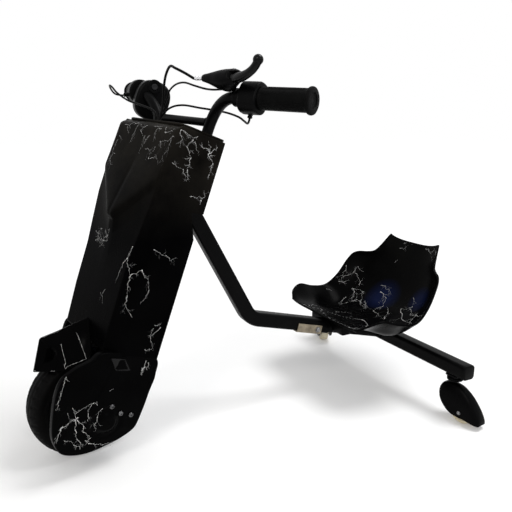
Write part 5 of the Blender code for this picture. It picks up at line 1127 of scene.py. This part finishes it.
def build_frame():
    """Bent square tube whose top is cut to the head tube and whose rear end is bored, the head tube, the bead
    that joins them, and the clamp round the rear end with its two screws."""
    path = frame_line()
    outer = square_path(path, FRAME_HALF, FRAME_CORNER)
    outer[:8, :, 1] += np.maximum(HEAD_CUT - from_head_axis(outer[:8]), 0)
    inner = square_path(path[-14:], 12.75 * MM, 3.75 * MM)[::-1]
    grid = np.concatenate([outer, inner])
    points, faces = capped(placed(grid, KART))
    solid_piece("main_tube", points, faces, FRAME, "frame", "main_frame_tube", 40)
    ring = [(366, 18.5), (366, 21.4), (366.6, 22), (471.4, 22), (472, 21.4), (472, 18.5), (366, 18.5)]
    still = KART @ HEAD_AXIS @ Matrix.Rotation(-math.pi / 2, 4, "Y")
    lathe("head_barrel", np.array(ring) * MM, still, FRAME, "frame", "head_tube", sides=64)
    bead = weld_loop(path)
    tube("head_weld", bead, circle(2.6 * MM, 10), KART, FRAME, "frame", "main_frame_tube", (0, 0.3, 1))
    line = KART @ slide_frame(480 * MM)
    outside = [(17.8, 2), (17.8, -13.6), (16.6, -16.6), (13.6, -17.8)]
    inside = [(13.0, -15.3), (14.6, -14.7), (15.3, -13.2), (15.3, 2)]
    channel = [(-x, z) for x, z in outside] + outside[::-1] + inside[::-1] + [(-x, z) for x, z in inside]
    slab("clamp_channel", np.array(channel) * MM, 1, -31 * MM, 31 * MM, 0.5 * MM, line, ZINC, "frame",
         "sleeve_clamp")
    for label, side in SIDES.items():
        seat = Matrix.Translation(Vector((side * 18.0, 20, -7)) * MM)
        turn = Matrix.Rotation(0 if side > 0 else math.pi, 4, "Z")
        lathe(f"sleeve_screw_{label}", HEX_HEAD * 0.95, line @ seat @ turn, STEEL, "frame",
              f"sleeve_bolt_{label}", sides=48, shape=hexed)


def weld_loop(path):
    """The square tube's outline, slid along the tube in 30 steps until it lies 21.8 mm from the steering
    axis. Its last side stays open."""
    section = rounded_square(15.2 * MM, FRAME_CORNER, 10)
    start = path[3]
    run = (path[10] - path[3]) / np.linalg.norm(path[10] - path[3])
    wide = np.array((1.0, 0, 0))
    high = np.cross(run, wide)
    loop = start + section[:, :1] * wide + section[:, 1:] * high
    for _ in range(30):
        loop = loop - run * (from_head_axis(loop) - HEAD_BEAD)[:, None] * 0.7
    return loop


# Flanged hex head from its seat: distance along X, radius
HEX_HEAD = np.array([(-2, 0.6), (-2, 4.4), (0, 4.4), (0, 6.4), (0.7, 6.4), (0.7, 5.2), (3.5, 5.2), (4.1, 4.5),
                     (4.2, 0.5)]) * MM


def hexed(grid):
    """Makes a head's rings above its flange six-sided: radius * 1.03 cos 30 / cos(angle from a flat)."""
    y, z = grid[..., 1], grid[..., 2]
    angle = np.arctan2(z, y)
    part = (angle + math.pi / 6) % (math.pi / 3) - math.pi / 6
    flat = math.cos(math.pi / 6) / np.cos(part)
    six = ((np.arange(len(grid)) >= 5) & (np.arange(len(grid)) <= 7))[:, None]
    grow = np.where(six, flat * 1.03, 1.0)
    return np.stack([grid[..., 0], y * grow, z * grow], axis=-1)


# Rear

BAR_SIDE = 15 * MM


def build_rear():
    """Slide tube, cross bar with its caster plates, end caps, and the beads where tube and bar meet."""
    start, end = slide_frame(440 * MM).translation, slide_frame(676 * MM).translation
    path = np.linspace(np.array(start), np.array(end), 60)
    tube("slide_bar", path, rounded_square(12.4 * MM, 3.2 * MM, 6), KART, FRAME, "rear", "rear_slide_tube",
         (1, 0, 0))
    x = np.concatenate([[-262, -261.6], np.linspace(-261, 261, 90), [261.6, 262]]) / 262 * BAR_HALF
    less = np.concatenate([[0.975, 0.992], np.ones(90), [0.992, 0.975]])
    path = np.array(BAR_CENTRE) + np.stack([x, 0 * x, 0 * x], axis=1)
    section = rounded_square(BAR_SIDE, 7.5 * MM, 8)[None] * less[:, None, None]
    tube("cross_bar", path, section, KART, FRAME, "rear", "rear_cross_bar", (0, 0, 1))
    for label, side in SIDES.items():
        plate = rounded_square(14 * MM, 2.5 * MM, 5) + (side * CASTER_X, BAR_Y)
        under = BAR_CENTRE.z - BAR_SIDE
        slab(f"caster_pad_{label}", plate, 2, under - 3 * MM, under + 1 * MM, 0.5 * MM, KART, FRAME, "rear",
             "rear_cross_bar")
        place = KART @ Matrix.Translation(BAR_CENTRE + Vector((side * (BAR_HALF + 0.3 * MM), 0, 0)))
        place = place @ Matrix.Rotation(0 if side > 0 else math.pi, 4, "Z")
        cap = [(-17, 10.6), (-16, 12.2), (-1, 12.4), (-0.1, 12.6), (0, 14.9), (1.2, 15.0), (2.6, 14.6),
               (3.5, 13.4), (4, 11.4)]
        rings = []
        for depth, half in cap:
            outline = rounded_square(half * MM, min(7.5, half / 2) * MM, 8)
            rings.append(np.column_stack([np.full(32, depth * MM), outline]))
        points, faces = capped(placed(np.array(rings), place))
        solid_piece(f"end_plug_{label}", points, faces, PLASTIC, "rear", f"bar_end_cap_{label}", 35)
        tube(f"bar_weld_{label}", bar_bead(side), circle(2.2 * MM, 8), KART, FRAME, "rear", "rear_cross_bar",
             (0, 0.2, 1))


def bar_bead(side):
    """A line up the joint between the slide tube and the cross bar's front face, waving by 0.35 cos 2.4 z."""
    z = np.linspace(-9, 9, 24)
    ripple = 0.35 * np.cos(z * 2.4)
    face = BAR_CENTRE + Vector((0, -15.4, 0)) * MM
    return np.stack([np.full(24, face.x) + side * (13.4 + ripple) * MM, np.full(24, face.y), face.z + z * MM],
                    axis=1)


# Casters

CASTER_TURN = {"left": math.radians(-80), "right": math.radians(65)}
CASTER_TOP = BAR_CENTRE.z - 18.3 * MM
CASTER_TRAIL = 25 * MM
ROLLER_RADIUS = 25 * MM
HOOD_HALF, HOOD_WALL, HOOD_POWER = 17.6 * MM, 3.2 * MM, 0.66

# The hood's side view from front to back, from the swivel's axis and the floor: its upper and its lower edge
HOOD_TOP = np.array([(-26, 54), (-25, 67), (-16, 75.5), (0, 77.6), (16, 75.5), (29, 69), (41, 59), (51, 47),
                     (60, 33), (66, 19), (67, 11)]) * MM
HOOD_FOOT = np.array([(-25.5, 52), (-21, 41), (-13, 30), (-3, 21), (8, 16), (20, 14.5), (33, 14), (42, 13),
                      (50, 11.5), (58, 10), (65, 9.5)]) * MM


def build_casters():
    """Ball-race cup, teardrop hood with a rounded back, wheel with a moulded tread, and a through bolt."""
    for label, side in SIDES.items():
        place = Matrix.Translation((side * CASTER_X, BAR_Y, CASTER_TOP))
        swivel = KART @ place @ Matrix.Rotation(CASTER_TURN[label], 4, "Z")
        body = f"caster_swivel_{label}"
        upright = swivel @ Matrix.Rotation(math.pi / 2, 4, "Y")
        cup = np.array([(0, 0.5), (0, 10.5), (0.8, 11.6), (2.6, 15.2), (3.4, 16), (5.0, 16), (5.3, 15.2),
                        (5.7, 15.2), (6.0, 16), (7.2, 15.8), (8, 14.8), (8, 0.5)]) * MM
        lathe(f"race_{label}", cup, upright, FRAME, body, f"caster_cup_{label}", sides=56)
        build_hood(label, swivel, body)
        axle = swivel @ Matrix.Translation((0, CASTER_TRAIL, ROLLER_RADIUS - CASTER_TOP))
        wheel = [(12, 4.4), (12, 7.2), (11.4, 8), (9.6, 9.4), (8.6, 10.6), (8.6, 15.6), (9.4, 17),
                 (10.3, 18.2), (10.5, 21), (9.9, 23), (8.6, 24.2), (5.5, 24.8), (0, 25)]
        profile = wheel + [(-x, r) for x, r in wheel[-2::-1]] + [wheel[0]]
        lathe(f"roller_{label}", np.array(profile) * MM, axle, URETHANE, f"caster_wheel_{label}",
              f"caster_wheel_{label}", sides=88)
        for end, turn in (("nut", 0), ("head", math.pi)):
            seat = axle @ Matrix.Rotation(turn, 4, "Z") @ Matrix.Translation((17.6 * MM, 0, 0))
            lathe(f"axle_{end}_{label}", HEX_HEAD * 0.62, seat, STEEL, body, f"caster_bolt_{label}", sides=48,
                  shape=hexed)
        pin = np.array([(-17.9, 0.4), (-17.9, 3.7), (17.9, 3.7), (17.9, 0.4)]) * MM
        lathe(f"axle_rod_{label}", pin, axle, STEEL, body, f"caster_bolt_{label}", sides=32)


def build_hood(label, swivel, body):
    """Arches from front to back over the wheel. With a from 0 to 180 degrees over one, x = half * cos(a)^0.66
    and the rest lies sin(a)^0.66 of the way from the side view's lower edge to its upper one. The half width
    is 17.6 mm * (1 - 0.3 (2 t - 1)^6), with t from front to back. The inner sheet is 3.2 mm smaller."""
    t = np.linspace(0, 1, 60)
    top, foot = curve_through(HOOD_TOP, 60), curve_through(HOOD_FOOT, 60)
    half = HOOD_HALF * (1 - 0.30 * np.abs(2 * t - 1) ** 6)
    angle = np.linspace(0, math.pi, 33)
    across = np.sign(np.cos(angle)) * np.abs(np.cos(angle)) ** HOOD_POWER
    rise = np.abs(np.sin(angle)) ** HOOD_POWER
    lift = top - foot
    length = np.maximum(np.linalg.norm(lift, axis=1, keepdims=True), 6 * MM)
    sheets = []
    for less in (0.0, HOOD_WALL):
        spot = foot[:, None] + (lift * (1 - less / length))[:, None] * rise[None, :, None]
        sheets.append(np.stack([(half - less)[:, None] * across, spot[..., 0], spot[..., 1] - CASTER_TOP],
                               axis=-1))
    outer, inner = sheets
    points, faces = capped(placed(np.concatenate([outer, inner[:, ::-1]], axis=1), swivel))
    solid_piece(f"hood_{label}", points, faces, HOOD, body, f"caster_hood_{label}", 40)


# Cables

# Radius, side, where it leaves its gland and which way (in that bar end's frame), then its points in the
# steering frame (mm)
CABLE_ROUTES = {
    "brake_cable": (2.2, 1, (-203, -26, 19.5), (-1, 0, 0), [
        (80, -70, 593), (60, -78, 598), (38, -77, 602), (12, -66, 592), (-5, -54, 575), (-11, -44, 552),
        (-10.5, -41.5, 530), (-10.5, -41.5, 505)]),
    "switch_lead": (1.76, 1, (-110, 10, -29), (0, 0, -1), [
        (168, 12, 545), (150, 17, 550), (130, 20, 556), (104, 17, 560), (72, 14, 562), (40, 0, 560),
        (12, -18, 557), (-8, -29, 547), (-18, -35, 528), (-18.5, -36.5, 505)]),
    "throttle_lead": (1.76, -1, (105, -30, -17), (0, -0.894427, -0.447214), [
        (-196, -50, 559), (-184, -66, 562), (-164, -80, 565), (-144, -83, 561), (-126, -78, 552),
        (-98, -66, 543), (-60, -57, 539), (-28, -49, 534), (-18.5, -45.5, 523), (-18, -45.5, 505)]),
}
BRAKE_WIRE_ROUTE = [(150, -42, 579), (131.5, -45, 577), (124, -55, 574.6), (101, -60, 577), (65, -58, 582.4),
                    (27, -50, 582.5), (-1.4, -43, 574.7), (-9, -40, 561), (-14, -39.4, 532),
                    (-14.8, -39.8, 505)]


def build_cables():
    """Each jacket leaves its gland straight and follows its route down through the top panel."""
    for name, (radius, side, mouth, run, route) in CABLE_ROUTES.items():
        start = [np.array(mouth) + np.array(run) * reach for reach in (-2.0, 0.3, 2 * radius)]
        start = placed(np.array(start) * MM, bar_local(side))
        path = curve_through(np.vstack([start, np.array(route) * MM]), 170)
        tube(f"{name}_jacket", path, circle(radius * MM, 16), STEERING, CABLE, "steering", name,
             (0.3, 1, 0.2))
    path = curve_through(np.array(BRAKE_WIRE_ROUTE) * MM, 150)
    tube("brake_wire_jacket", path, circle(1.6 * MM, 14), STEERING, CABLE, "steering", (), (0.3, 1, 0.2))
    ring = np.array([(-1.5, 6.2), (-1.5, 8.7), (1.2, 8.9), (2.2, 10.2), (3.0, 10.4), (3.6, 9.6), (3.6, 6.6),
                     (-1.5, 6.2)]) * MM
    at = STEERING @ Matrix.Translation(Vector((-15, -41, 513.4)) * MM) @ Matrix.Rotation(-math.pi / 2, 4, "Y")
    lathe("cable_grommet", ring, at, RUBBER, "steering", sides=48)


# Printed veins on the surfaces

# Views of the photograph in which the strokes' points are given: left edge, top edge, scale
WHOLE_VIEW = (0, 0, 1)
UPPER_VIEW = (95, 60, 5)
LOWER_VIEW = (30, 315, 6)
SEAT_VIEW = (285, 225, 5)

# Strokes: width in mm, forks (1 with branches, 0 without, -1 a straight pale line), points in pixels of
# the view that stands before them
VEIN_STROKES = {
    "fairing": [
        (UPPER_VIEW, [
            (1.1, 1, (215, 330), (170, 415)), (1.0, 1, (262, 325), (228, 350), (240, 378)),
            (1.1, 1, (272, 380), (215, 475)), (1.0, 1, (330, 345), (305, 350), (300, 400)),
            (0.8, 0, (300, 430), (282, 468)), (1.1, 1, (395, 380), (328, 408), (330, 440)),
            (0.9, 1, (380, 390), (318, 520)), (1.3, 1, (436, 340), (420, 440)),
            (1.2, 1, (440, 342), (500, 385)),
            (1.6, 1, (495, 400), (455, 430), (480, 490), (462, 545), (452, 605)),
            (1.0, 1, (520, 375), (485, 405)), (1.0, 1, (390, 510), (440, 545), (470, 605)),
            (0.9, 1, (250, 450), (265, 490), (312, 522)), (0.9, 0, (500, 410), (515, 475)),
            (0.8, 0, (160, 330), (168, 372)), (0.8, 1, (115, 400), (90, 440), (92, 470)),
            (0.8, 1, (95, 470), (60, 512)), (2.2, 1, (575, 468), (530, 430)),
            (1.8, 1, (575, 468), (638, 447)), (1.3, 0, (575, 468), (570, 396)),
            (1.8, 1, (572, 465), (592, 520), (580, 575), (602, 612)), (1.2, 0, (575, 478), (640, 492)),
            (1.1, 1, (478, 685), (530, 688), (562, 722)), (1.3, 1, (540, 712), (578, 665)),
            (1.0, 0, (530, 700), (568, 742)), (0.8, 1, (5, 850), (30, 880)), (0.8, 1, (72, 845), (35, 905)),
            (0.8, 1, (35, 845), (8, 915)), (0.8, 1, (60, 880), (20, 935)), (0.8, 0, (0, 900), (45, 935))]),
        (WHOLE_VIEW, [
            (2.0, 1, (133, 246), (128, 258)), (1.5, 1, (128, 258), (120, 270)),
            (1.2, 1, (128, 258), (131, 274), (142, 270), (149, 290)), (1.0, 1, (131, 274), (128, 295)),
            (0.9, 1, (149, 290), (140, 305)), (1.0, 1, (128, 295), (131, 314)),
            (0.9, 1, (120, 270), (115, 282)), (0.9, 1, (153, 250), (166, 256), (178, 259)),
            (0.7, 0, (100, 292), (102, 304)), (0.6, 0, (105, 290), (99, 300))]),
        (LOWER_VIEW, [
            (1.1, 1, (745, 62), (820, 48)), (1.1, 1, (800, 75), (740, 200)),
            (0.9, 1, (745, 75), (712, 135)), (1.0, 1, (690, 208), (760, 218)),
            (0.9, 0, (720, 200), (705, 240)), (1.0, 0, (605, 0), (612, 20))]),
        (UPPER_VIEW, [
            (0.9, 1, (150, 325), (190, 318)), (1.0, 1, (200, 318), (232, 335)),
            (1.0, 1, (300, 330), (350, 328)), (0.9, 1, (360, 330), (352, 372)),
            (0.9, 1, (250, 372), (232, 430)), (0.9, 1, (350, 360), (392, 350)),
            (0.9, 1, (456, 345), (470, 400)), (0.9, 1, (400, 520), (395, 500)),
            (0.9, 1, (480, 490), (445, 500)), (0.9, 1, (120, 380), (135, 400)),
            (0.8, 1, (78, 480), (84, 522)), (0.9, 1, (592, 520), (602, 560)),
            (0.8, 1, (15, 860), (22, 930)), (0.8, 1, (50, 850), (62, 880)),
            (0.8, 1, (45, 900), (5, 880))])],
    "cover": [
        (LOWER_VIEW, [
            (1.1, 1, (204, 372), (204, 402), (182, 470)), (1.0, 1, (182, 470), (160, 515), (155, 575)),
            (1.0, 0, (200, 385), (240, 400)), (4.5, 0, (290, 615), (262, 640)),
            (2.6, 1, (275, 630), (230, 652), (185, 682)), (3.0, 0, (200, 672), (176, 696)),
            (1.5, 1, (185, 682), (155, 770)), (2.2, 1, (285, 630), (320, 668), (320, 700)),
            (1.1, 1, (320, 700), (362, 735)), (1.8, 1, (272, 640), (272, 690), (278, 745)),
            (1.3, 1, (278, 745), (302, 805)), (1.1, 1, (275, 620), (262, 572)),
            (1.3, 1, (382, 528), (352, 590), (345, 640)), (1.0, 1, (382, 528), (330, 562)),
            (1.0, 1, (405, 540), (385, 525)), (1.2, 1, (438, 562), (405, 610), (386, 700)),
            (1.0, 1, (205, 755), (262, 780), (300, 810)), (1.6, 1, (330, 752), (352, 772), (430, 780)),
            (1.0, 1, (430, 780), (505, 775)), (1.0, 1, (365, 736), (330, 760)),
            (0.9, 1, (255, 560), (276, 592), (320, 560)), (0.8, 0, (320, 560), (345, 548)),
            (0.8, 0, (478, 455), (506, 441)), (2.2, 1, (700, 270), (690, 310), (668, 362)),
            (1.6, 1, (712, 282), (700, 330)), (1.2, 1, (672, 318), (664, 356)),
            (0.7, 0, (130, 560), (150, 575)), (0.7, 0, (225, 590), (238, 640))])],
    "fender": [
        (LOWER_VIEW, [
            (0.9, -1, (185, 180), (192, 208), (199, 236), (207, 266), (214, 294), (222, 324), (265, 310),
             (309, 296), (352, 282), (334, 238), (315, 193), (297, 149), (278, 104)),
            (0.5, -1, (66, 150), (182, 100)), (0.8, 1, (132, 345), (156, 340)),
            (0.9, 1, (30, 345), (42, 372))])],
    "seat": [
        (SEAT_VIEW, [
            (1.1, 1, (302, 200), (270, 282)), (1.1, 1, (270, 280), (320, 276)),
            (1.2, 1, (290, 255), (340, 235), (362, 205)), (1.1, 1, (362, 205), (392, 232)),
            (1.0, 1, (350, 240), (372, 300)), (1.0, 1, (330, 318), (392, 330)),
            (1.2, 1, (340, 312), (362, 372)), (1.1, 1, (362, 372), (312, 384), (262, 392)),
            (1.1, 1, (392, 330), (385, 372), (335, 382)), (1.1, 1, (305, 360), (268, 388)),
            (1.2, 1, (385, 372), (408, 420)), (1.0, 1, (390, 395), (412, 412)),
            (0.9, 1, (370, 300), (400, 262)), (0.9, 1, (350, 330), (330, 372)),
            (1.0, 1, (478, 300), (530, 342)), (1.3, 1, (478, 330), (490, 400), (440, 430)),
            (1.2, 1, (440, 430), (498, 470), (515, 440)), (1.1, 0, (515, 440), (508, 408)),
            (1.1, 1, (640, 360), (635, 410), (582, 420)), (1.1, 1, (582, 420), (560, 490), (540, 480)),
            (1.2, 1, (620, 418), (652, 450), (700, 440)), (1.1, 1, (700, 430), (668, 482), (600, 552)),
            (1.0, 1, (652, 450), (610, 480)), (1.0, 1, (640, 470), (560, 500)),
            (1.0, 1, (668, 482), (612, 505)), (1.0, 1, (575, 118), (620, 82)),
            (1.0, 1, (600, 78), (655, 95)), (0.9, 1, (700, 118), (766, 112)),
            (0.9, 1, (762, 118), (742, 172)), (1.0, 1, (720, 110), (735, 140)),
            (1.2, 1, (82, 402), (182, 412)), (1.4, 1, (182, 412), (202, 470), (232, 500)),
            (1.2, 1, (232, 500), (300, 512)), (1.2, 1, (215, 432), (322, 462)),
            (1.1, 1, (322, 462), (380, 470)), (1.1, 1, (380, 470), (345, 510)),
            (1.0, 1, (250, 430), (330, 440)), (1.0, 1, (300, 512), (368, 535)),
            (1.0, 1, (120, 400), (170, 398)), (0.9, 0, (548, 190), (562, 172)),
            (0.8, 0, (205, 318), (232, 325)), (1.0, 1, (400, 380), (380, 430))])],
}


def on_photo(points):
    """Where points show in the photograph, and how deep. In the camera's axes, whose -Z looks ahead:
    across = middle + f x / depth, down = middle - f y / depth, depth = -z."""
    x, y, z = np.moveaxis(placed(points, CAMERA.inverted()), -1, 0)
    focal = FOCAL / SENSOR * PHOTO
    return PHOTO / 2 + focal * x / -z, PHOTO / 2 - focal * y / -z, -z


def shares_under(seen, x, y):
    """Row and column shares of the grid point under a pixel: of those nearest to it, the one in front."""
    across, down, depth = seen
    apart = np.hypot(across - x, down - y)
    front = np.where(apart < max(1.2, apart.min() + 0.3), depth + apart * 0.01, np.inf)
    spot = np.unravel_index(front.argmin(), front.shape)
    return np.round(np.array(spot) / (np.array(front.shape) - 1), 3)


def vein_runs(name, grid):
    """Each leg of a surface's strokes: the grid's shares at its start and end, width in mm, forks."""
    seen = on_photo(grid)
    for (left, top, scale), strokes in VEIN_STROKES[name]:
        for width, forks, *points in strokes:
            spots = [shares_under(seen, left + x / scale, top + y / scale) for x, y in points]
            for start, end in zip(spots, spots[1:]):
                yield start, end, width, forks


def build_veins(grids):
    """Lightning along each leg, printed on the grid it belongs to."""
    for name, (grid, body, outward, lift) in grids.items():
        rng = np.random.default_rng(len(name))
        bright, faint = [], []
        for start, end, width, forks in vein_runs(name, grid):
            start, end = np.clip((start, end), 0.02, 0.97)
            if forks < 0:
                made = [(start + (end - start) * np.linspace(0, 1, 40)[:, None], 0.55 * width * MM)]
            else:
                made = lightning(rng, start, end, 0.46 * width * MM, forks * 2, (1, 4))
            bright += made[:1]
            faint += made[1:]
        for label, strokes, ink in (("veins", bright, VEIN), ("faint_veins", faint, FAINT)):
            print_veins(f"{name}_{label}", grid, strokes, ink, body, lift * MM, outward)


# Stage

FLOOR_WHITE = 0.12
WORLD_LIGHT = 0.62
LAMPS = (
    ("top lamp", (0.5, 0.9, 2.6), 1.2, 42, (1.0, 1.0, 1.0)),
    ("front lamp", (1.7, -1.9, 2.1), 1.0, 24, (1.0, 0.97, 0.93)),
    ("side lamp", (2.4, 1.0, 1.5), 1.3, 8, (0.92, 0.95, 1.0)))


def soft_white(tree, shader):
    """Mixes plain light into a shader where the camera looks straight at it, more so away from the kart."""
    glow = tree.nodes.new("ShaderNodeEmission")
    glow.inputs["Strength"].default_value = 1.15
    path = tree.nodes.new("ShaderNodeLightPath")
    reach = tree.nodes.new("ShaderNodeVectorMath")
    reach.operation = "LENGTH"
    tree.links.new(tree.nodes.new("ShaderNodeTexCoord").outputs["Object"], reach.inputs[0])
    share = tree.nodes.new("ShaderNodeMath")
    share.operation = "MULTIPLY"
    tree.links.new(spread(tree, reach.outputs["Value"], FLOOR_WHITE, 1.0, 0.5, 1.6), share.inputs[1])
    blend = tree.nodes.new("ShaderNodeMixShader")
    tree.links.new(path.outputs["Is Camera Ray"], share.inputs[0])
    tree.links.new(share.outputs[0], blend.inputs[0])
    tree.links.new(shader, blend.inputs[1])
    tree.links.new(glow.outputs[0], blend.inputs[2])
    return blend.outputs[0]


def build_floor():
    """Pale matt floor that runs out of sight."""
    mesh = bpy.data.meshes.new("floor")
    mesh.from_pydata([(-20, -20, 0), (20, -20, 0), (20, 20, 0), (-20, 20, 0)], [], [(0, 1, 2, 3)])
    floor = bpy.data.objects.new("floor", mesh)
    bpy.context.scene.collection.objects.link(floor)
    pale = bpy.data.materials.new("pale floor")
    pale.use_nodes = True
    tree = pale.node_tree
    tree.nodes.remove(tree.nodes["Principled BSDF"])
    matt = tree.nodes.new("ShaderNodeBsdfDiffuse")
    matt.inputs["Color"].default_value = (0.95, 0.95, 0.95, 1)
    lit = soft_white(tree, matt.outputs[0])
    tree.links.new(lit, tree.nodes["Material Output"].inputs["Surface"])
    mesh.materials.append(pale)


def build_world():
    """Bright world: white for the camera, reflections and glass, softer as a light."""
    world = bpy.data.worlds.new("studio")
    bpy.context.scene.world = world
    world.use_nodes = True
    tree = world.node_tree
    plain = tree.nodes["Background"]
    plain.inputs["Color"].default_value = (1, 1, 1, 1)
    plain.inputs["Strength"].default_value = WORLD_LIGHT
    white = tree.nodes.new("ShaderNodeBackground")
    white.inputs["Color"].default_value = (1, 1, 1, 1)
    white.inputs["Strength"].default_value = 1.0
    path = tree.nodes.new("ShaderNodeLightPath")
    seen = path.outputs["Is Camera Ray"]
    for kind in ("Is Glossy Ray", "Is Transmission Ray"):
        either = tree.nodes.new("ShaderNodeMath")
        either.operation = "MAXIMUM"
        tree.links.new(seen, either.inputs[0])
        tree.links.new(path.outputs[kind], either.inputs[1])
        seen = either.outputs[0]
    blend = tree.nodes.new("ShaderNodeMixShader")
    tree.links.new(seen, blend.inputs[0])
    tree.links.new(plain.outputs[0], blend.inputs[1])
    tree.links.new(white.outputs[0], blend.inputs[2])
    tree.links.new(blend.outputs[0], tree.nodes["World Output"].inputs["Surface"])


def build_lamps():
    """Soft round lamps that point at the kart."""
    for name, place, size, power, tint in LAMPS:
        lamp = bpy.data.lights.new(name, "AREA")
        lamp.shape = "DISK"
        lamp.size = size
        lamp.energy = power
        lamp.color = tint
        made = bpy.data.objects.new(name, lamp)
        bpy.context.scene.collection.objects.link(made)
        made.location = place
        made.rotation_euler = (Vector((0, 0, 0.25)) - Vector(place)).to_track_quat("-Z", "Y").to_euler()


def build_camera():
    """The photograph's camera, with colours shown as they are."""
    lens = bpy.data.cameras.new("camera")
    lens.sensor_width = SENSOR
    lens.lens = FOCAL
    camera = bpy.data.objects.new("camera", lens)
    bpy.context.scene.collection.objects.link(camera)
    camera.location = KART @ CAMERA_AT
    camera.rotation_euler = CAMERA_AIM
    bpy.context.scene.camera = camera
    bpy.context.scene.view_settings.view_transform = "Standard"


def build_all():
    """Every piece, from the fairing to the casters, and the stage round them."""
    dress_cad_nodes()
    fairing = build_fairing()
    build_side_covers()
    fender = build_fender()
    seat = build_seat()
    cover = placed(cover_patch(), STEERING)
    build_veins({"fairing": (fairing, "steering", 1, 0.12), "cover": (cover, "steering", 1, 0.12),
                 "fender": (fender, "steering", -1, 3.15), "seat": (seat, "rear", -1, 0.12)})
    build_front_wheel()
    build_fork()
    build_left_controls()
    build_perch()
    build_lever()
    build_right_controls()
    build_frame()
    build_rear()
    build_casters()
    build_cables()
    build_floor()
    build_world()
    build_lamps()
    build_camera()


build_all()
